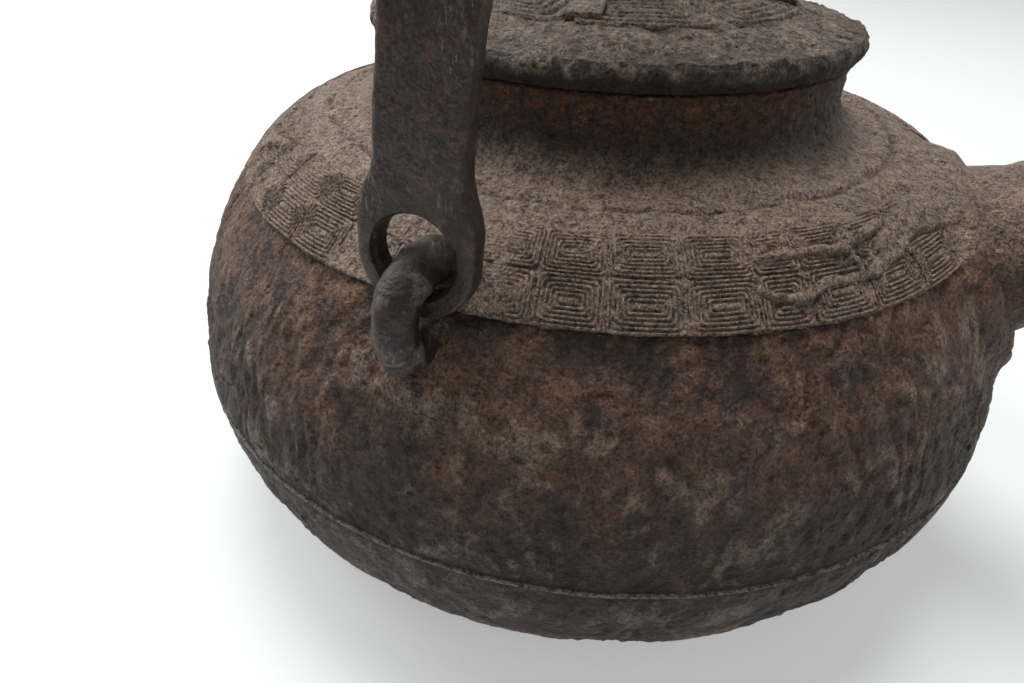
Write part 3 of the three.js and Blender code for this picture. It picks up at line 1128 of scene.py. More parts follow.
    def build_shoulder(self, relief: Callable[[Vector], float]) -> bmesh.types.BMesh:
        """Band's ground, shoulder, neck and rim.

        Args:
            relief: Cast relief and spout fillet to add, in mm outwards.

        Returns:
            Closed mesh in mm.
        """
        line = self.shoulder_line()
        band = self.band_length()
        outside = line.spaced(self.shoulder_pitch)
        lifted = []
        for i, place in enumerate(outside):
            distance = line.length * i / (len(outside) - 1)
            normal = line.at(max(0.01, distance))[1]
            proud = self.band_proud * (1 - blend(band - 0.2, band + 0.5, distance))
            lifted.append(place + normal * proud)
        foot = Vector((lifted[0].x - 1.2, self.band_bottom + 0.1))
        rim = [
            Vector((self.neck_radius + self.neck_flare - 0.5, self.rim_height)),
            Vector((self.mouth_radius + 0.6, self.rim_height)),
            Vector((self.mouth_radius, self.rim_height - 0.6)),
        ]
        inner = [p for p in self.upper(self.wall) if p.y > self.band_bottom - 0.5]
        inner_top = Vector((self.mouth_radius + 0.3, self.shoulder_height - self.wall + 0.4))
        inside = [*rim, Vector((self.mouth_radius, self.shoulder_height)), inner_top]
        inside += list(reversed(Outline(inner).spaced(4)))
        bm = turned([foot, *lifted], inside, self.shoulder_sides, ring=True)
        weather(bm, self.shoulder_relief, self.crest_span, relief)
        return bm


@dataclass
class FretBand:
    """Two rows of hand-pressed raimon squares round the shoulder.

    Attributes:
        casting: Body that carries them.
        row_split: Length along the shoulder at which the upper row starts.
        joint: Gap between two squares.
        rings: Nested ridges in a square.
        ridge: Height of a ridge.
        floor: Height of a square's ground over the wall.
        corner_power: Squareness of the corners.
        seen: Angles of the joints that show in the camera's view.
        pitch: Usual width of a square in degrees.
        spout_gap: Half angle that the spout's root takes.
        sides: Points round one square.
    """

    casting: Casting
    row_split: float = 8.5
    joint: float = 0.25
    rings: int = 5
    ridge: float = 0.45
    floor: float = 0.4
    corner_power: float = 11.0
    seen: tuple[float, ...] = (
        *(-33.6, -23.9, -15.1, -6.9, 2.4, 11.0, 18.9),
        *(27.8, 36.4, 42.6, 51.5, 60.6, 70.5),
    )
    pitch: float = 8.6
    spout_gap: float = 14.0
    sides: int = 28

    def joints(self) -> list[float]:
        """Angles of the joints between squares, all round the kettle."""
        chance = random.Random(5)
        found = list(self.seen)
        rest = 360 + self.seen[0] - self.seen[-1]
        count = round(rest / self.pitch)
        for i in range(1, count + 1):
            jitter = chance.uniform(-0.5, 0.5) if i < count else 0.0
            found.append(self.seen[-1] + rest * i / count + jitter)
        return found

    def build(self, relief: Callable[[Vector], float]) -> bmesh.types.BMesh:
        """All squares, laid on the shoulder and worn.

        Args:
            relief: Cast relief that covers them, in mm outwards.

        Returns:
            The mesh in mm.
        """
        line = self.casting.shoulder_line()
        band = self.casting.band_length()
        chance = random.Random(11)
        whole = bmesh.new()
        whole.verts.layers.float.new(CREST)
        rows = ((0.0, self.row_split), (self.row_split, band))
        joints = self.joints()
        for low, high in rows:
            middle = (low + high) / 2
            radius = line.at(middle)[0].x
            for start, end in zip(joints, joints[1:]):
                centre = (start + end) / 2
                if abs((centre - 90 + 180) % 360 - 180) < self.spout_gap:
                    continue
                width = math.radians(end - start) * radius - self.joint
                height = high - low - self.joint
                height *= chance.uniform(0.985, 1.0)
                period = height / 2 / (self.rings + 0.75)
                width *= chance.uniform(0.985, 1.0)
                size = (width, height, self.rings, self.ridge)
                one = pressed(*size, self.corner_power, self.sides, period)
                tilt = Matrix.Rotation(math.radians(chance.uniform(-1.6, 1.6)), 4, "Z")
                shift = Vector((chance.uniform(-0.12, 0.12), chance.uniform(-0.12, 0.12), 0))
                bmesh.ops.transform(one, matrix=Matrix.Translation(shift) @ tilt, verts=one.verts)
                one_crest = one.verts.layers.float.new(CREST)
                for vert in one.verts:
                    flat = vert.co.copy()
                    angle = centre + math.degrees(flat.x / radius)
                    spot, normal = line.at(max(0.02, middle + flat.y))
                    ground = polar(angle, spot.x, spot.y)
                    out = polar(angle, normal.x, normal.y)
                    keep = 0.45 + 0.55 * blend(-0.62, 0.05, rough(ground, 17, 3, 1, 21.0))
                    keep *= 1 - blend(-17.5, -14.5, angle) * blend(12.0, 5.0, angle)
                    keep *= 1 - 0.55 * blend(band - 3.5, band - 0.2, middle + flat.y)
                    wobble = Vector((rough(ground, 3, 2, 1, 31.0), rough(ground, 3, 2, 1, 41.0), 0))
                    lift = self.floor + flat.z * keep if flat.z > 0 else self.floor + flat.z
                    cover = blend(0.1, 0.5, relief(ground))
                    lift += 0.16 * rough(ground, 5, 2, 1, 51.0) - 1.2 * cover
                    vert.co = ground + out * lift + wobble * 0.14
                    # Crest: the ridge tops get the paler tone, partly a painted highlight, and the grooves
                    # painted shade; where the ridges are worn down both fade.
                    edge = 0.38 * max(0.0, flat.z) / self.ridge * keep
                    vert[one_crest] = 0.3 + edge + 0.22 * (1 - keep)
                joined(whole, one)
        bmesh.ops.recalc_face_normals(whole, faces=whole.faces)
        return whole


@dataclass
class CloudRelief:
    """Low cast relief on the shoulder: wisps of cloud that drift towards the spout.

    Attributes:
        casting: Body that carries it.
        wisps: Each wisp's points as (angle, length along the shoulder, half width, height).
        crease: Fold at the spout's root as (length along the shoulder, angle).
        left_part: First and last angle of the wisps away from the spout.
        right_part: First and last angle of those beside it.
        radius: Radius in mm at which an angle is taken as a length.
    """

    casting: Casting
    wisps: tuple[tuple[tuple[float, float, float, float], ...], ...] = (
        (
            *((36.9, 11.3, 0.5, 0.8), (40, 12.0, 0.8, 1.0), (45.5, 11.7, 0.8, 1.0)),
            *((49.8, 11.0, 0.9, 1.1), (51.2, 7.6, 0.7, 0.7)),
        ),
        (
            *((35.9, 7.3, 0.5, 0.6), (38.0, 5.2, 0.8, 0.9), (41.3, 4.5, 1.0, 1.0)),
            *((45.0, 6.4, 0.9, 0.6), (52, 6.2, 1.0, 0.7), (60, 9.0, 1.6, 0.8)),
        ),
        ((50.6, 12.4, 1.0, 1.0), (55.0, 12.8, 1.0, 1.1), (58.5, 13.8, 0.8, 0.8)),
        ((55.5, 10.0, 1.6, 0.8), (62, 11.6, 3.0, 0.9), (68, 12.4, 3.6, 0.9), (73, 11, 4.2, 0.8)),
        (
            *((-44.5, 12.0, 0.8, 0.6), (-48, 10.2, 1.6, 1.2), (-51, 8.2, 1.4, 1.0)),
            *((-55, 9.8, 1.2, 0.8), (-60, 13.0, 1.0, 0.5)),
        ),
    )
    crease: tuple[tuple[float, float], ...] = ((2.1, 75.4), (9.1, 72.7), (15.7, 71.9))
    left_part: tuple[float, float] = (-80.0, -38.0)
    right_part: tuple[float, float] = (32.0, 84.0)
    radius: float = 74.0

    def at(self, place: Vector) -> float:
        """Height of the relief at a point.

        Args:
            place: Point on the plain shoulder.

        Returns:
            Height in mm outwards.
        """
        angle = angle_of(place)
        if not any(low < angle < high for low, high in (self.left_part, self.right_part)):
            return 0.0
        along = self.distance_up(place)
        scale = math.radians(1) * self.radius
        best = self.fold(angle, along)
        for wisp in self.wisps:
            if not min(p[0] for p in wisp) - 6 < angle < max(p[0] for p in wisp) + 6:
                continue
            for start, end in zip(wisp, wisp[1:]):
                ax, ay = (angle - start[0]) * scale, along - start[1]
                bx, by = (end[0] - start[0]) * scale, end[1] - start[1]
                share = min(1.0, max(0.0, (ax * bx + ay * by) / (bx * bx + by * by)))
                off = math.hypot(ax - bx * share, ay - by * share)
                width = start[2] + (end[2] - start[2]) * share
                height = start[3] + (end[3] - start[3]) * share
                ragged = off / width + 0.3 * rough(place, 3.5, 2, 1, 25.0)
                edge = 0.35 * math.exp(-(((ragged - 1.35) / 0.2) ** 2))
                sunk = edge if best < 0.1 else 0.0
                best = max(best, 1.35 * height * blend(1.1, 0.8, ragged)) - sunk
        return best * (0.85 + 0.3 * rough(place, 6, 2, 1, 27.0))

    def fold(self, angle: float, along: float) -> float:
        """Fold where the spout's root meets the shoulder: a groove with a raised far side.

        Args:
            angle: Angle of the point.
            along: Its length along the shoulder in mm.

        Returns:
            Height in mm outwards.
        """
        points = [Vector(point) for point in self.crease]
        share = (along - points[0].x) / (points[-1].x - points[0].x)
        off = math.radians(angle - through(points, share).y) * self.radius
        fade = blend(-0.15, 0.1, share) * blend(1.2, 0.95, share)
        raised = 0.6 * blend(0.0, 1.2, off) * blend(12, 4, off)
        return (raised - 0.7 * math.exp(-((off / 0.8) ** 2))) * fade

    def distance_up(self, place: Vector) -> float:
        """Length along the shoulder, from the band's lower edge, of a point on it."""
        casting = self.casting
        radius = math.hypot(place.x, place.y)
        drop = casting.wall_radius(casting.band_bottom) - radius
        rise = place.z - casting.band_bottom
        return math.hypot(max(0.0, drop), max(0.0, rise)) * 1.03


@dataclass
class Spout:
    """Short curved spout, cast on the shoulder.

    Attributes:
        casting: Body that it grows from.
        reach: Tip's middle from the kettle's axis.
        tip_height: Height of the level lip.
        tip_radius: Radius at the tip.
        root_height: Height of the root's middle.
        root_width: Width at the root.
        root_depth: Depth at the root.
        swell_share: Length over which it narrows to the tip's size.
        swell_power: Power of that narrowing.
        wall: Thickness of the metal.
        sides: Points round it.
        rings: Rings along it.
        fillet_rise: Swell of the shoulder against it, in mm.
        fillet_reach: Distance over which the swell fades.
        skin: Sections that its fillet follows.
    """

    casting: Casting
    reach: float = 110.0
    tip_height: float = 107.5
    tip_radius: float = 10.4
    root_height: float = 76.0
    root_width: float = 48.0
    root_depth: float = 38.0
    swell_share: float = 0.85
    swell_power: float = 1.5
    wall: float = 3.2
    sides: int = 112
    rings: int = 72
    fillet_rise: float = 2.6
    fillet_reach: float = 8.0
    skin: list[Station] = field(default_factory=list)

    def __post_init__(self) -> None:
        """Works out the sections that the fillet follows."""
        self.skin = self.stations(0, 0)[::6]

    def line(self, extra: float) -> list[Vector]:
        """Points of the middle line.

        Args:
            extra: How much further inside the wall it starts, in mm.

        Returns:
            The points from the root to above the lip.
        """
        root = self.casting.wall_radius(self.root_height)
        out = self.reach - root
        rise = self.tip_height - self.root_height
        return [
            Vector((root - 2 * self.casting.wall - extra, 0, self.root_height - 0.12 * rise)),
            Vector((root + 0.25 * out, 0, self.root_height + 0.14 * rise)),
            Vector((root + 0.68 * out, 0, self.root_height + 0.5 * rise)),
            Vector((self.reach, 0, self.tip_height)),
            Vector((self.reach + 0.32 * self.tip_radius, 0, self.tip_height + 0.8 * self.tip_radius)),
        ]

    def stations(self, inset: float, extra: float) -> list[Station]:
        """Sections of the spout.

        Args:
            inset: How much thinner than the outside, in mm.
            extra: How much further they start inside the wall.

        Returns:
            The sections from the root to above the lip.
        """
        points = self.line(extra)
        line = Outline([Vector((p.x, p.z)) for p in (through(points, i / 80) for i in range(81))])
        made = []
        for i in range(self.rings + 1):
            share = i / self.rings
            middle, normal = line.at(line.length * share)
            swell = max(0.0, 1 - share / self.swell_share) ** self.swell_power
            wide = self.tip_radius + (self.root_width / 2 - self.tip_radius) * swell - inset
            deep = self.tip_radius + (self.root_depth / 2 - self.tip_radius) * swell - inset
            up = Vector((-normal.x, 0, -normal.y))
            middle = Vector((middle.x, 0, middle.y))
            made.append(Station(middle, Vector((0, 1, 0)), up, wide, deep))
        return made

    def fillet(self, place: Vector) -> float:
        """Swell of the shoulder where the spout grows from it.

        Args:
            place: Point on the plain shoulder.

        Returns:
            Height in mm outwards.
        """
        if abs(angle_of(place) - 90) > 34:
            return 0.0
        best = self.fillet_reach + 1
        for station in self.skin:
            off = place - station.middle
            if abs(off.dot(station.side.cross(station.up))) > 6:
                continue
            across, deep = off.dot(station.side) / station.wide, off.dot(station.up) / station.deep
            ratio = math.hypot(across, deep)
            best = min(best, (ratio - 1) * (station.wide + station.deep) / 2)
        return self.fillet_rise * blend(self.fillet_reach, 0.0, best) ** 1.6

    def build(self) -> bmesh.types.BMesh:
        """Solid outer form with its lip cut level.

        Returns:
            Closed mesh in mm, still to be bored.
        """
        bm = swept(self.stations(0, 0), round_section(self.sides))
        cut = bmesh.ops.bisect_plane(
            bm,
            geom=bm.verts[:] + bm.edges[:] + bm.faces[:],
            plane_co=(0, 0, self.tip_height),
            plane_no=(0, 0, 1),
            clear_outer=True,
        )
        rim = [g for g in cut["geom_cut"] if isinstance(g, bmesh.types.BMEdge)]
        lip = bmesh.ops.edgeloop_fill(bm, edges=rim)["faces"]
        bmesh.ops.inset_region(bm, faces=lip, thickness=0.7, depth=0.35)
        close(bm)
        weather(bm, self.relief, 0.6)
        for vert in bm.verts:
            vert.co.z = min(vert.co.z, self.tip_height + 0.3)
        return bm

    def relief(self, place: Vector) -> float:
        """Lumps and sand of the spout, in mm outwards."""
        return 0.3 * rough(place, 9, 3, 1, 61.0) + 0.1 * rough(place, 2.2, 2, 1, 63.0) - 0.12


@dataclass
class Kettle:
    """Body casting with its fret band, spout and finish.

    Attributes:
        casting: Bowl, wall, shoulder and neck.
        finish: Patina of the wall and the bowl.
        dusty: Patina of the shoulder.
        settling: Patina of the spout, where the dust sets in more slowly.
    """

    casting: Casting = field(default_factory=Casting)
    # Old sand-cast iron: dull brown with near-black patches, ochre rust and a sandy grain.
    finish: SandCastIron = SandCastIron("cast_iron_sand_cast_brown")
    # The same iron under years of pale dust, with painted shade kept dark in its pits.
    dusty: SandCastIron = SandCastIron("cast_iron_sand_cast_dusty", dust_from=68.0, dust_full=84.0)
    settling: SandCastIron = SandCastIron("cast_iron_sand_cast_spout", dust_from=76.0, dust_full=94.0)

    def cavity(self) -> bmesh.types.BMesh:
        """Room inside the kettle, a little into the metal."""
        casting = self.casting
        inset = casting.wall - 1.2
        upper = casting.upper(inset)
        points = [Vector((0, inset)), *casting.bowl(inset)[1:], *upper[1:]]
        return turned(Outline(points).spaced(4), [Vector((0, upper[-1].y))], 96)

    def build(self) -> None:
        """Builds and dresses the body's pieces."""
        iron, dusty = self.finish.material(), self.dusty.material()
        casting = self.casting
        relief = CloudRelief(casting)
        spout = Spout(casting)
        wall = casting.build_wall(lambda place: spout.fillet(place) + Lug.mound(place))
        bowl = casting.build_bowl()
        shoulder = casting.build_shoulder(lambda place: relief.at(place) + spout.fillet(place))
        band = FretBand(casting).build(relief.at)
        put = (Body.KETTLE, Slot.BODY)
        pieces = [
            finished(wall, "cast_wall", iron, *put, ("kettle_body",)),
            finished(shoulder, "cast_shoulder", dusty, *put, ("kettle_body",)),
        ]
        finished(bowl, "cast_bowl", iron, *put, ("kettle_body",))
        finished(band, "raimon_squares", dusty, *put)
        nozzle = finished(spout.build(), "cast_spout", self.settling.material(), *put, ("spout",))
        bore = cutter(swept(spout.stations(spout.wall, 2 * casting.wall), round_section(48)))
        room = cutter(self.cavity())
        for piece in [*pieces, nozzle]:
            bored(piece, bore)
        bored(nozzle, room)
        for used in (bore, room):
            bpy.data.objects.remove(used)


@dataclass
class Lug:
    """Square eye of round rod that carries the bail.

    Attributes:
        casting: Body that it stands on.
        turn: Degrees about the kettle's axis, 0 for the one on +Y.
        node: CAD node that it stands for.
        rod: Radius of the rod.
        crest: Height of its top.
        bend: Radius of its bends.
        leg: Outer leg's middle from the kettle's axis.
        inner: Where the crest starts.
        outer: Where the crest ends.
        foot: Height of the lower root.
        skew: How far the outer leg stands to one side.
        slope: Fall of the lower root.
        finish: Its patina.
    """

    casting: Casting
    turn: float
    node: str
    rod: float = 3.45
    crest: float = 90.6
    bend: float = 5.2
    leg: float = 89.2
    inner: float = 80.0
    outer: float = 84.6
    foot: float = 77.6
    skew: float = 0.4
    slope: float = 0.45
    # Cast rod rubbed by the bail: near black with a soft grey sheen, brown stains and pale nicks.
    finish: Iron = Iron(
        "cast_iron_lug_dark",
        deep="#120e0e",
        ground="#191010",
        fair="#2d1f1e",
        rust="#3b2219",
        worn="#7d736e",
        grain=0.5,
        bump=0.12,
        speckle=0.8,
        glint=0.1,
        scratch=0.5,
        patch=5.0,
        rust_share=0.7,
        stretch=1.0,
        roughness=0.45,
        metallic=0.15,
    )

    def line(self) -> list[Vector]:
        """Points of the middle line, from the upper root over the crest to the lower root."""
        half = math.sqrt(0.5)
        bend, crest, leg, foot, skew = self.bend, self.crest, self.leg, self.foot, self.skew
        upper = Vector((self.inner - half * bend, crest - (1 - half) * bend))
        end = self.casting.wall_radius(foot) - 1.9
        rows = [
            (upper.x - half * 3.9, upper.y - half * 3.9, 0),
            (upper.x - half, upper.y - half, 0),
            (self.inner - 0.38 * bend, crest - 0.08 * bend, 0),
            (self.inner + 0.5, crest, 0),
            (self.outer - 0.8, crest, 0),
            (leg - 0.3 * bend, crest - 0.3 * bend, 0.6 * skew),
            (leg, crest - bend, skew),
            (leg, foot + bend, skew),
            (leg - 0.3 * bend, foot + 0.3 * bend, 0.6 * skew),
            (leg - bend, foot, 0.2 * skew),
            (end, foot - self.slope * (leg - bend - end), 0),
        ]
        return [Vector((x, y, z)) for y, z, x in rows]

    @staticmethod
    def mound(place: Vector) -> float:
        """Swell of the wall round a lug's lower root, in mm outwards."""
        off = math.hypot(place.x, place.z - 76.0)
        return 1.5 * blend(8.5, 3.0, off) if abs(place.y) > 70 else 0.0

    def relief(self, place: Vector) -> float:
        """Hammer marks and scale, in mm outwards."""
        flats = 0.55 * rough(place, 5.5, 2, 1, self.turn)
        pits = 0.5 * dimple(place, 3.6, 7.0) * blend(-0.1, 0.3, flats)
        return min(0.25, flats + pits + 0.08 * rough(place, 1.3, 2, 1, 3.0))

    def build(self) -> None:
        """Builds and dresses the lug."""
        points = self.line()
        path = [through(points, i / 150) for i in range(151)]
        stations = []
        for i, (place, side, up) in enumerate(carried(path, Vector((1, 0, 0)))):
            radius = self.rod + 0.5 * max(blend(30, 0, i), blend(125, 150, i))
            stations.append(Station(place, side, up, radius, radius))
        bm = swept(stations, round_section(40))
        weather(bm, self.relief, 0.3)
        spin = Matrix.Rotation(math.radians(self.turn), 4, "Z")
        bmesh.ops.transform(bm, matrix=spin, verts=bm.verts)
        side = "front" if self.turn else "back"
        put = (self.finish.material(), Body.KETTLE, Slot.LUG, (self.node,))
        finished(bm, f"lug_rod_{side}", *put)


@dataclass
class Bail:
    """Forged strap handle with an eye at each end.

    Attributes:
        hinge: Height of its axis.
        span: Half span to the strap's middle.
        rise: Rise of the strap's middle above the axis.
        power: Power of the arch.
        lean: Lean towards the spout in degrees.
        width: Width of the strap.
        thickness: Thickness of the strap.
        eye_rise: Eye's middle above the axis.
        eye_outer: Eye's outer radius.
        eye_hole: Eye's hole radius.
        neck: Height at which the strap starts to widen to the eye.
        finish: Its patina.
    """

    hinge: float = 90.6
    span: float = 82.5
    rise: float = 97.0
    power: float = 2.6
    lean: float = 4.0
    width: float = 13.6
    thickness: float = 4.2
    eye_rise: float = 2.4
    eye_outer: float = 9.4
    eye_hole: float = 6.3
    neck: float = 16.5
    # Hammered iron in its own fire scale: smooth, blue-black, brown in patches, rubbed on the corners.
    finish: Iron = Iron(
        "forged_iron_scale_slate",
        deep="#15100f",
        ground="#231713",
        fair="#2d2422",
        rust="#452b20",
        worn="#7f746c",
        grain=0.4,
        bump=0.1,
        speckle=0.8,
        glint=0.15,
        scratch=0.6,
        patch=8.0,
        rust_share=0.75,
        stretch=1.8,
        roughness=0.46,
        metallic=0.15,
    )

    def half_width(self, height: float) -> float:
        """Half width of the strap at a height above the axis."""
        if height < self.eye_rise:
            drop = (self.eye_rise - height) / self.eye_outer
            return self.eye_outer * max(0.0, 1 - drop**2.2) ** (1 / 2.2)
        flare = blend(self.neck, self.eye_rise + 4.5, height)
        return self.width / 2 + (self.eye_outer - self.width / 2) * flare

    def middle_line(self) -> list[Vector]:
        """Arch seen along X as (y, height above the axis), from one eye's bottom to the other's."""
        bottom = self.eye_rise
        foot = [
            Vector((self.span, bottom - self.eye_outer * math.cos(math.radians(3 * i))))
            for i in range(1, 30)
        ]
        arc = super_arc(Vector((0, 0)), self.span, self.rise, self.power, (1.2, 90), 400)
        arc = [p for p in Outline(arc).spaced(0.85) if p.y > bottom + 0.3]
        half = [*foot, *arc]
        return half + [Vector((-p.x, p.y)) for p in reversed(half[:-1])]

    def relief(self, place: Vector) -> float:
        """Hammer flats and scale, in mm outwards, never above the forged size."""
        flats = 0.34 * rough(place, 11, 2, 1.3, 71.0)
        scale = 0.12 * rough(place, 2.6, 3, 1, 73.0)
        return min(0.04, flats + scale - 0.16)

    def build(self) -> None:
        """Builds and dresses the bail."""
        line = self.middle_line()
        stations = []
        for i, place in enumerate(line):
            along = (line[min(i + 1, len(line) - 1)] - line[max(i - 1, 0)]).normalized()
            up = Vector((0, -along.y, along.x))
            middle = Vector((0, place.x, place.y))
            wide = self.half_width(place.y)
            stations.append(Station(middle, Vector((1, 0, 0)), up, wide, self.thickness / 2))
        bm = swept(stations, bar_section(self.width / 2, self.thickness / 2, 0.75, 56))
        weather(bm, self.relief, 0.45)
        self.rub(bm)
        put = (self.finish.material(), Body.BAIL, Slot.BAIL, ("bail",))
        piece = finished(self.leaned(bm), "bail_strap", *put)
        drill = bmesh.new()
        half = self.thickness / 2
        hole = self.eye_hole
        for side in (1, -1):
            rows = ((-8, 3), (-half, 0.7), (-half + 0.8, 0.0), (half - 0.8, 0.0), (half, 0.7), (8, 3))
            places = [Vector((0, side * (self.span + y), self.eye_rise)) for y, _ in rows]
            cuts = [
                Station(p, Vector((1, 0, 0)), Vector((0, 0, 1)), hole + r, hole + r)
                for p, (_, r) in zip(places, rows)
            ]
            joined(drill, swept(cuts, round_section(96)))
        tool = cutter(self.leaned(drill))
        bored(piece, tool)
        bpy.data.objects.remove(tool)

    @staticmethod
    def rub(bm: bmesh.types.BMesh) -> None:
        """Marks the strap's long corners as worn."""
        crest = bm.verts.layers.float.get(CREST)
        bm.normal_update()
        for vert in bm.verts:
            corner = blend(0.3, 0.55, abs(vert.normal.x)) * blend(0.95, 0.8, abs(vert.normal.x))
            vert[crest] += 0.3 * corner * blend(-0.2, 0.4, rough(vert.co, 8, 2, 1, 75.0))

    def leaned(self, bm: bmesh.types.BMesh) -> bmesh.types.BMesh:
        """Leans the bail and lifts it to its axis."""
        lean = Matrix.Rotation(math.radians(self.lean), 4, "Y")
        lift = Matrix.Translation((0, 0, self.hinge))
        bmesh.ops.transform(bm, matrix=lift @ lean, verts=bm.verts)
        return bm


@dataclass
class Lid:
    """Cast drop-in lid: pitted dome, blackened rim, flange below and a raised fret ring.

    Attributes:
        base: Height of its seat on the neck.
        radius: Radius of the rim.
        lower_radius: Radius at the seat.
        rim_height: Height of the rim.
        rise: Height of the middle above the rim.
        thickness: Thickness of the top.
        flange_outer: Outer radius of the flange.
        flange_wall: Thickness of the flange.
        flange_depth: Depth of the flange.
        hole: Radius of the hole for the knob's shank.
        ring_outer: Outer radius of the fret ring.
        ring_inner: Inner radius of the fret ring.
        panels: Panels in the ring.
        first_panel: Angle at which the first panel starts.
        panel_gap: Gap between panels in degrees.
        panel_rings: Nested ridges in a panel.
        panel_ridge: Height of a ridge.
        panel_period: Spacing of the ridges.
        block_width: Width of the upright blocks.
        crown_radius: Radius at which the top has fallen by its whole rise.
        relief_in: Deepest that its pits go.
        relief_out: Highest that its lumps stand.
        finish: Its patina.
    """

    base: float = 108.6
    radius: float = 51.3
    lower_radius: float = 49.8
    rim_height: float = 4.9
    rise: float = 5.4
    thickness: float = 3.8
    flange_outer: float = 43.3
    flange_wall: float = 3.0
    flange_depth: float = 5.0
    hole: float = 3.2
    ring_outer: float = 37.3
    ring_inner: float = 22.2
    panels: int = 8
    first_panel: float = 5.8
    panel_gap: float = 3.2
    panel_rings: int = 3
    panel_ridge: float = 0.85
    panel_period: float = 2.1
    block_width: float = 5.6
    crown_radius: float = 51.4
    relief_in: float = 0.6
    relief_out: float = 0.5
    # Coarse sand casting gone dusty: taupe, dull, with black pits and a burnt rim.
    finish: LidIron = LidIron("cast_iron_lid_pitted")

    @property
    def top(self) -> float:
        """Height of the middle."""
        return self.base + self.rim_height + self.rise

    def surface(self, radius: float) -> float:
        """Height of the plain top at a radius."""
        return self.top - self.rise * (radius / self.crown_radius) ** 2

    def relief(self, place: Vector) -> float:
        """Pits of the cast top and lumps of the rim.

        Args:
            place: Point on the plain lid.

        Returns:
            Height in mm outwards.
        """
        radius = math.hypot(place.x, place.y)
        open_top = blend(13.5, 17.0, radius)
        under = blend(self.base + 1.0, self.base + 3.5, place.z)
        near = blend(-0.15, 0.45, rough(place, 9, 2, 1, 81.0))
        pits = 0.75 * dimple(place + Vector((0.3, 0.3, 0)) * rough(place, 1.4, 2), 1.7, 83.0) * near
        broad = 0.62 * dimple(place, 6.5, 85.0) + 0.3 * rough(place, 10, 2, 1, 87.0)
        edge = blend(self.radius - 7, self.radius - 2, radius)
        broad += edge * (0.75 * rough(place, 5.5, 2, 1, 86.0) + 0.8 * dimple(place, 4.4, 88.0) - 0.3)
        sand = 0.3 * rough(place, 1.8, 2, 1, 89.0)
        ring = blend(self.ring_outer + 0.8, self.ring_outer - 0.4, radius)
        height = pits * (1 - 0.7 * ring) + broad * (1 - 0.5 * ring) + sand
        height = height * (0.25 + 0.75 * under) + 0.12
        return max(-self.relief_in, min(self.relief_out, height)) * open_top

    def build_dome(self) -> bmesh.types.BMesh:
        """Top, rim and flange.

        Returns:
            Closed mesh in mm.
        """
        crown = [Vector((r, self.surface(r))) for r in (self.hole + 0.4 + i * 0.9 for i in range(53))]
        edge = [
            Vector((self.radius - 0.9, self.base + self.rim_height - 0.15)),
            Vector((self.radius - 0.25, self.base + 0.86 * self.rim_height)),
            Vector((self.radius, self.base + 0.66 * self.rim_height)),
            Vector((self.radius - 0.3, self.base + 0.4 * self.rim_height)),
            Vector((self.lower_radius + 0.15, self.base + 0.5)),
            Vector((self.lower_radius, self.base + 0.1)),
        ]
        spaced = Outline([*crown, *edge]).spaced(0.72)
        flange_inner = self.flange_outer - self.flange_wall
        below = [
            Vector((self.lower_radius - 0.6, self.base)),
            Vector((self.flange_outer + 0.3, self.base)),
            Vector((self.flange_outer, self.base - 0.4)),
            Vector((self.flange_outer, self.base - self.flange_depth + 0.5)),
            Vector((self.flange_outer - 0.5, self.base - self.flange_depth)),
            Vector((flange_inner + 0.4, self.base - self.flange_depth)),
            Vector((flange_inner, self.base - self.flange_depth + 0.6)),
            Vector((flange_inner - 1, self.surface(flange_inner - 1) - self.thickness)),
            *[
                Vector((flange_inner * share, self.surface(flange_inner * share) - self.thickness))
                for share in (0.88, 0.7, 0.5, 0.3)
            ],
            Vector((self.hole, self.top - self.thickness)),
        ]
        bm = turned([Vector((self.hole, self.top - 0.4)), *spaced], below, 720, ring=True)
        weather(bm, self.relief, 0.55)
        return bm

    def build_frets(self) -> bmesh.types.BMesh:
        """Ring of nested raised panels, every second one with an upright block.

        Returns:
            Closed meshes in mm.
        """
        whole = bmesh.new()
        whole.verts.layers.float.new(CREST)
        middle = (self.ring_outer + self.ring_inner) / 2
        step = 360 / self.panels
        deep = self.ring_outer - self.ring_inner
        wide = math.radians(step - self.panel_gap) * middle
        forms = []
        for i in range(self.panels):
            centre = self.first_panel + step * (i + 0.5) - self.panel_gap / 2
            size = (wide, deep, self.panel_rings, self.panel_ridge)
            forms.append((centre, pressed(*size, 14.0, 120, self.panel_period), 0.05))
            if i % 2 == 0:
                block = pressed(self.block_width, deep - 2, 0, 1.0, 7.0, 40, self.panel_period)
                forms.append((centre - step * 0.41, block, 0.9))
        for centre, form, lift in forms:
            crest = form.verts.layers.float.new(CREST)
            for vert in form.verts:
                radius = middle - vert.co.y
                angle = centre + math.degrees(vert.co.x / middle)
                ground = polar(angle, radius, self.surface(radius))
                vert[crest] = 0.4 + 0.35 * min(1.0, max(0.0, vert.co.z))
                worn = 0.8 + 0.25 * rough(ground, 6, 2, 1, 91.0)
                height = vert.co.z * worn if vert.co.z > 0 else vert.co.z
                wobble = Vector((rough(ground, 5, 2, 1, 93.0), rough(ground, 5, 2, 1, 95.0), 0)) * 0.35
                sand = 0.12 * rough(ground, 2.4, 2, 1, 97.0)
                vert.co = ground + wobble + Vector((0, 0, height + lift + sand))
            joined(whole, form)
        return whole

    def build(self) -> None:
        """Builds and dresses the lid."""
        put = (self.finish.material(), Body.LID, Slot.LID)
        finished(self.build_dome(), "lid_dome", *put, ("lid",))
        finished(self.build_frets(), "lid_frets", *put)


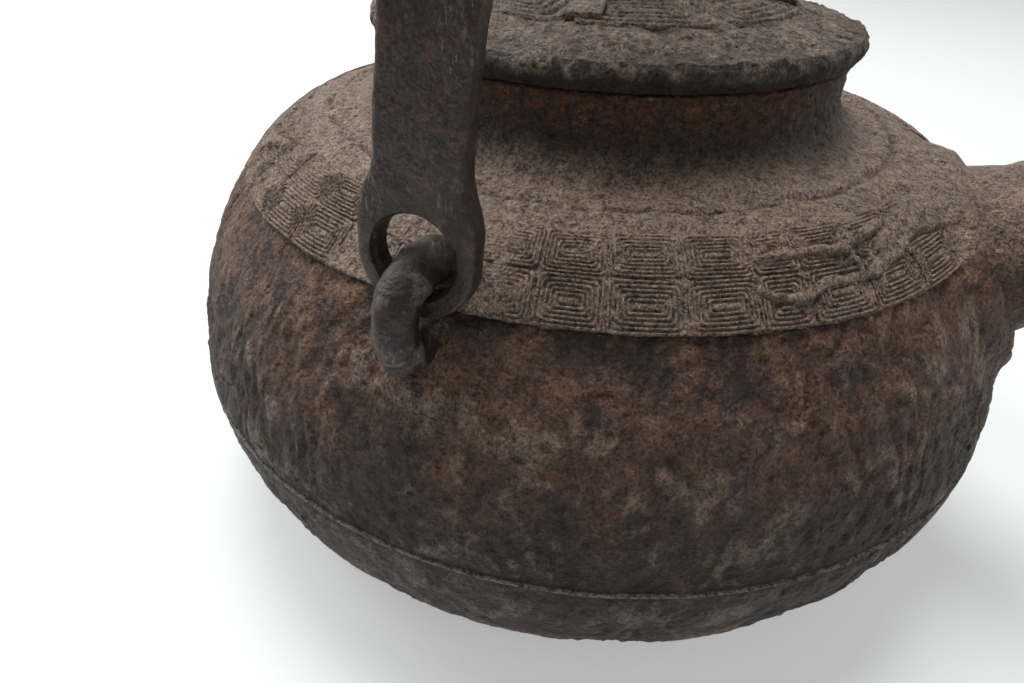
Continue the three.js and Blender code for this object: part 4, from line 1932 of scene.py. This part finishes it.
@dataclass
class Knob:
    """Bud knob on its flower seat, with the washer and rivet head that hold it below the lid.

    Attributes:
        lid: Lid that carries it.
        gap: Clearance between the pieces.
        seat_radius: Radius of the seat between petals.
        seat_lobe: Reach of the petals.
        seat_thickness: Thickness of the seat.
        radius: Radius of the bud.
        height: Height of the bud.
        foot: Radius of its foot.
        petals: Petals of bud and seat.
        shank: Radius of the shank.
        washer_radius: Radius of the washer.
        washer_thickness: Thickness of the washer.
        head_radius: Radius of the rivet head.
        head_thickness: Thickness of the rivet head.
        finish: Its patina.
    """

    lid: Lid
    gap: float = 0.3
    seat_radius: float = 12.0
    seat_lobe: float = 1.1
    seat_thickness: float = 1.6
    radius: float = 9.9
    height: float = 14.9
    foot: float = 4.6
    petals: int = 5
    shank: float = 2.8
    washer_radius: float = 7.5
    washer_thickness: float = 1.4
    head_radius: float = 4.8
    head_thickness: float = 1.6
    # Small fine casting polished by the hand: dark grey, smoother and shinier than the lid.
    finish: Iron = Iron(
        "cast_iron_knob_dark",
        deep="#1f1a18",
        ground="#3b3330",
        fair="#544a45",
        rust="#5c4032",
        worn="#8d847c",
        grain=0.4,
        bump=0.08,
        speckle=0.5,
        patch=6.0,
        rust_share=0.2,
        stretch=1.0,
        roughness=0.52,
        metallic=0.35,
    )

    def petal(self, place: Vector) -> float:
        """0 in a groove between petals to 1 in a petal's middle."""
        return abs(math.cos(self.petals * math.radians(angle_of(place)) / 2))

    def build_bud(self) -> bmesh.types.BMesh:
        """Bud, foot, shank and rivet head in one.

        Returns:
            Closed mesh in mm.
        """
        lid = self.lid
        base = lid.top + self.seat_thickness + 2 * self.gap
        rivet_top = lid.top - lid.thickness - 2 * self.gap - self.washer_thickness
        low = rivet_top - self.head_thickness
        shares = (
            (0.8, 0.02), (0.84, 0.1), (0.52, 0.24), (0.6, 0.34), (0.86, 0.46), (0.98, 0.6),
            (0.96, 0.72), (0.8, 0.84), (0.5, 0.94), (0.22, 0.985), (0.0, 1.0),
        )
        bud = [Vector((max(r, self.foot / self.radius) if z < 0.3 else r, 0, z)) for r, z in shares]
        curve = [through(bud, i / 70) for i in range(70)] + [bud[-1]]
        head = [
            Vector((0, low)),
            Vector((self.head_radius - 1.4, low + 0.1)),
            Vector((self.head_radius - 0.4, low + 0.5)),
            Vector((self.head_radius, low + 1.1)),
            Vector((self.head_radius, rivet_top)),
            Vector((self.shank, rivet_top)),
            Vector((self.shank, base)),
            Vector((self.foot, base)),
        ]
        body = [Vector((max(0.0, p.x) * self.radius, base + p.z * self.height)) for p in curve]
        bm = turned([*head, *body[1:]], [], 160)
        for vert in bm.verts:
            share = (vert.co.z - base) / self.height
            if share > 0.28:
                reach = math.hypot(vert.co.x, vert.co.y) / self.radius
                groove = (1 - self.petal(vert.co)) ** 3
                cut = 1 - 0.11 * groove * blend(0.28, 0.45, share) * min(1.0, reach * 1.5)
                vert.co.xy *= cut
        weather(bm, lambda p: (0.12 * rough(p, 3, 3, 1, 5.0) - 0.05) * blend(base, base + 1, p.z), 0.3)
        return bm

    def build_seat(self) -> bmesh.types.BMesh:
        """Flower plate with raised petals.

        Returns:
            Closed mesh in mm.
        """
        low = self.lid.top + self.gap
        top = low + self.seat_thickness
        hole = self.shank + 0.4
        rows = [Vector((self.seat_radius - i * 0.35, top - 0.25 - 0.35 * (i / 26) ** 2)) for i in range(26)]
        outside = [
            Vector((self.seat_radius, low + 0.35)),
            Vector((self.seat_radius + 0.1, low + 0.8)),
            *rows,
            Vector((hole + 0.2, top - 0.5)),
            Vector((hole, top - 0.7)),
        ]
        bm = turned(outside, [Vector((hole, low)), Vector((self.seat_radius - 0.4, low))], 200, ring=True)
        for vert in bm.verts:
            reach = math.hypot(vert.co.x, vert.co.y)
            vert.co.xy *= 1 + self.seat_lobe / self.seat_radius * self.petal(vert.co) * blend(4, 12, reach)
            if vert.co.z > low + 0.9:
                dip = (1 - self.petal(vert.co)) ** 4 * blend(4.5, 8, reach)
                vert.co.z += 0.2 * self.petal(vert.co) * blend(5, 9, reach) - 0.55 * dip
        weather(bm, lambda p: (0.08 * rough(p, 2.4, 3, 1, 7.0) - 0.05) * blend(low + 0.5, top, p.z), 0.25)
        return bm

    def build_washer(self) -> bmesh.types.BMesh:
        """Washer below the lid.

        Returns:
            Closed mesh in mm.
        """
        top = self.lid.top - self.lid.thickness - self.gap
        low = top - self.washer_thickness
        hole = self.shank + 0.4
        outside = [
            Vector((hole, low + 0.15)),
            Vector((hole + 0.2, low)),
            Vector((self.washer_radius - 0.4, low)),
            Vector((self.washer_radius - 0.1, low + 0.15)),
            Vector((self.washer_radius, low + 0.5)),
            Vector((self.washer_radius - 0.1, top - 0.1)),
            Vector((self.washer_radius - 0.3, top)),
        ]
        bm = turned(Outline(outside).spaced(0.35), [Vector((hole, top))], 120, ring=True)
        weather(bm, lambda p: -0.06 - 0.06 * rough(p, 2, 2, 1, 9.0), 0.2)
        return bm

    def build(self) -> None:
        """Builds and dresses the knob and what holds it."""
        iron = self.finish.material()
        finished(self.build_bud(), "knob_bud", iron, Body.KNOB, Slot.KNOB, ("lid_knob",))
        finished(self.build_seat(), "knob_flower_seat", iron, Body.LID, Slot.KNOB, ("knob_seat",))
        washer = self.build_washer()
        finished(washer, "knob_washer", iron, Body.LID, Slot.KNOB, ("knob_rivet_washer",))


# Stage


@dataclass(frozen=True)
class SoftLamp:
    """Square soft lamp.

    Attributes:
        name: What it stands for.
        power: Power in watts.
        size: Side in metres.
        place: Place in metres.
    """

    name: str
    power: float
    size: float
    place: tuple[float, float, float]


@dataclass
class Stage:
    """Pale floor, white backdrop, soft lamps and the camera.

    Attributes:
        floor_tone: Colour of the floor.
        glow: How much whiter than lit the floor is to the camera.
        fill: Strength of the world's light on the object.
        lamps: Large soft lamps: the strongest overhead, one on the left, a weak one in front.
        aim: Point in metres that they face.
        eye: Place of the camera in metres.
        turn: Turn of the camera from +Y towards -X in degrees.
        look_down: Degrees that it looks down.
        roll: Degrees that it is rolled.
        lens: Focal length in mm on a 36 mm frame.
    """

    floor_tone: str = "#c9cfce"
    glow: float = 0.37
    fill: float = 0.16
    lamps: tuple[SoftLamp, ...] = (
        SoftLamp("window", 11.0, 0.55, (-0.16, 0.16, 1.2)),
        SoftLamp("side", 7.0, 0.6, (-0.95, 0.1, 0.8)),
        SoftLamp("front", 2.35, 0.7, (0.35, -0.75, 1.15)),
    )
    aim: tuple[float, float, float] = (0.0, 0.0, 0.06)
    eye: tuple[float, float, float] = (0.04631, -0.15633, 0.13819)
    turn: float = 23.22
    look_down: float = 34.76
    roll: float = 2.1
    lens: float = 24.26

    def to_eye(
        self, tree: bpy.types.NodeTree, share: bpy.types.NodeSocket | float = 1.0
    ) -> bpy.types.NodeSocket:
        """Tells what the eye sees straight, by reflection or through glass.

        Args:
            tree: Node tree of the floor or the world.
            share: Part of the reflections that count.

        Returns:
            1 for the camera's own rays, `share` for reflections of it.
        """
        path = add_node(tree, "ShaderNodeLightPath").outputs
        inputs = {0: path["Is Glossy Ray"], 1: path["Is Transmission Ray"]}
        mirrored = add_node(tree, "ShaderNodeMath", inputs, operation="MAXIMUM").outputs[0]
        mirrored = add_node(tree, "ShaderNodeMath", {0: mirrored, 1: share}, operation="MULTIPLY").outputs[0]
        inputs = {0: path["Is Camera Ray"], 1: mirrored}
        return add_node(tree, "ShaderNodeMath", inputs, operation="MAXIMUM").outputs[0]

    def floor(self) -> None:
        """Lays the floor."""
        bm = bmesh.new()
        bmesh.ops.create_grid(bm, x_segments=2, y_segments=2, size=6)
        mesh = bpy.data.meshes.new("floor")
        bm.to_mesh(mesh)
        bm.free()
        # Matt white paint: spreads the light, mirrors nothing and takes a soft shadow. The paint's tooth
        # is finer than the 1.1 mm drawn here, which only just keeps the floor from looking like glass.
        made = bpy.data.materials.new("painted_board_matt_white")
        made.use_nodes = True
        tree = made.node_tree
        tree.nodes.clear()
        place = add_node(tree, "ShaderNodeTexCoord").outputs["Object"]
        grain = add_node(tree, "ShaderNodeTexNoise", {"Vector": place, "Scale": 0.9 / MM, "Detail": 2})
        bump = add_node(tree, "ShaderNodeBump", {"Height": grain.outputs["Fac"], "Distance": 0.03 * MM})
        inputs = {"Base Color": linear(self.floor_tone), "Roughness": 0.8, "Normal": bump.outputs[0]}
        board = add_node(tree, "ShaderNodeBsdfPrincipled", inputs)
        glow = add_node(
            tree, "ShaderNodeMath", {0: self.to_eye(tree), 1: self.glow}, operation="MULTIPLY"
        ).outputs[0]
        white = add_node(tree, "ShaderNodeEmission", {"Color": (1, 1, 1, 1), "Strength": glow}).outputs[0]
        both = add_node(tree, "ShaderNodeAddShader", {0: board.outputs[0], 1: white})
        add_node(tree, "ShaderNodeOutputMaterial", {"Surface": both.outputs[0]})
        mesh.materials.append(made)
        piece = bpy.data.objects.new("floor", mesh)
        piece.location.z = -0.0002
        bpy.context.scene.collection.objects.link(piece)

    def world(self) -> None:
        """White to the eye, a board behind the object in its reflections, a soft level elsewhere."""
        world = bpy.data.worlds.new("studio")
        bpy.context.scene.world = world
        world.use_nodes = True
        tree = world.node_tree
        tree.nodes.clear()
        soft = add_node(tree, "ShaderNodeBackground", {"Color": linear("#fffdfa"), "Strength": self.fill})
        white = add_node(tree, "ShaderNodeBackground", {"Color": (1, 1, 1, 1), "Strength": 1.0})
        way = add_node(tree, "ShaderNodeTexCoord").outputs["Generated"]
        away = Matrix.Rotation(math.radians(self.turn), 3, "Z") @ Vector((0, 1, 0))
        inputs = {0: way, 1: away}
        behind = add_node(tree, "ShaderNodeVectorMath", inputs, operation="DOT_PRODUCT").outputs["Value"]
        board = add_node(
            tree, "ShaderNodeMapRange", {"Value": behind, "From Min": -0.1, "From Max": 0.3}
        ).outputs["Result"]
        inputs = {0: self.to_eye(tree, board), 1: soft.outputs[0], 2: white.outputs[0]}
        mixed = add_node(tree, "ShaderNodeMixShader", inputs)
        add_node(tree, "ShaderNodeOutputWorld", {"Surface": mixed.outputs[0]})

    def hang(self, lamp: SoftLamp) -> None:
        """Hangs a lamp so that it faces the kettle.

        Args:
            lamp: Lamp to hang.
        """
        data = bpy.data.lights.new(lamp.name, "AREA")
        data.energy = lamp.power
        data.size = lamp.size
        place = Vector(lamp.place)
        facing = (Vector(self.aim) - place).to_track_quat("-Z", "Y").to_matrix().to_4x4()
        made = bpy.data.objects.new(lamp.name, data)
        made.matrix_world = Matrix.Translation(place) @ facing
        bpy.context.scene.collection.objects.link(made)

    def camera(self) -> None:
        """Sets the camera where the photograph was taken from."""
        data = bpy.data.cameras.new("camera")
        data.sensor_width = 36
        data.lens = self.lens
        data.clip_start = 0.005
        made = bpy.data.objects.new("camera", data)
        turn = Matrix.Rotation(math.radians(self.turn), 4, "Z")
        tip = Matrix.Rotation(math.radians(90 - self.look_down), 4, "X")
        roll = Matrix.Rotation(math.radians(self.roll), 4, "Z")
        made.matrix_world = Matrix.Translation(self.eye) @ turn @ tip @ roll
        bpy.context.scene.collection.objects.link(made)
        bpy.context.scene.camera = made

    def build(self) -> None:
        """Sets the whole stage."""
        bpy.context.scene.view_settings.view_transform = "Standard"
        self.floor()
        self.world()
        for lamp in self.lamps:
            self.hang(lamp)
        self.camera()


def main() -> None:
    """Builds the kettle and its stage."""
    logging.basicConfig(level=logging.INFO, format="%(name)s: %(message)s")
    kettle = Kettle()
    kettle.build()
    Lug(kettle.casting, 0.0, "lug_left").build()
    Lug(kettle.casting, 180.0, "lug_right").build()
    Bail().build()
    lid = Lid()
    lid.build()
    Knob(lid).build()
    Stage().build()


if __name__ == "__main__":
    main()
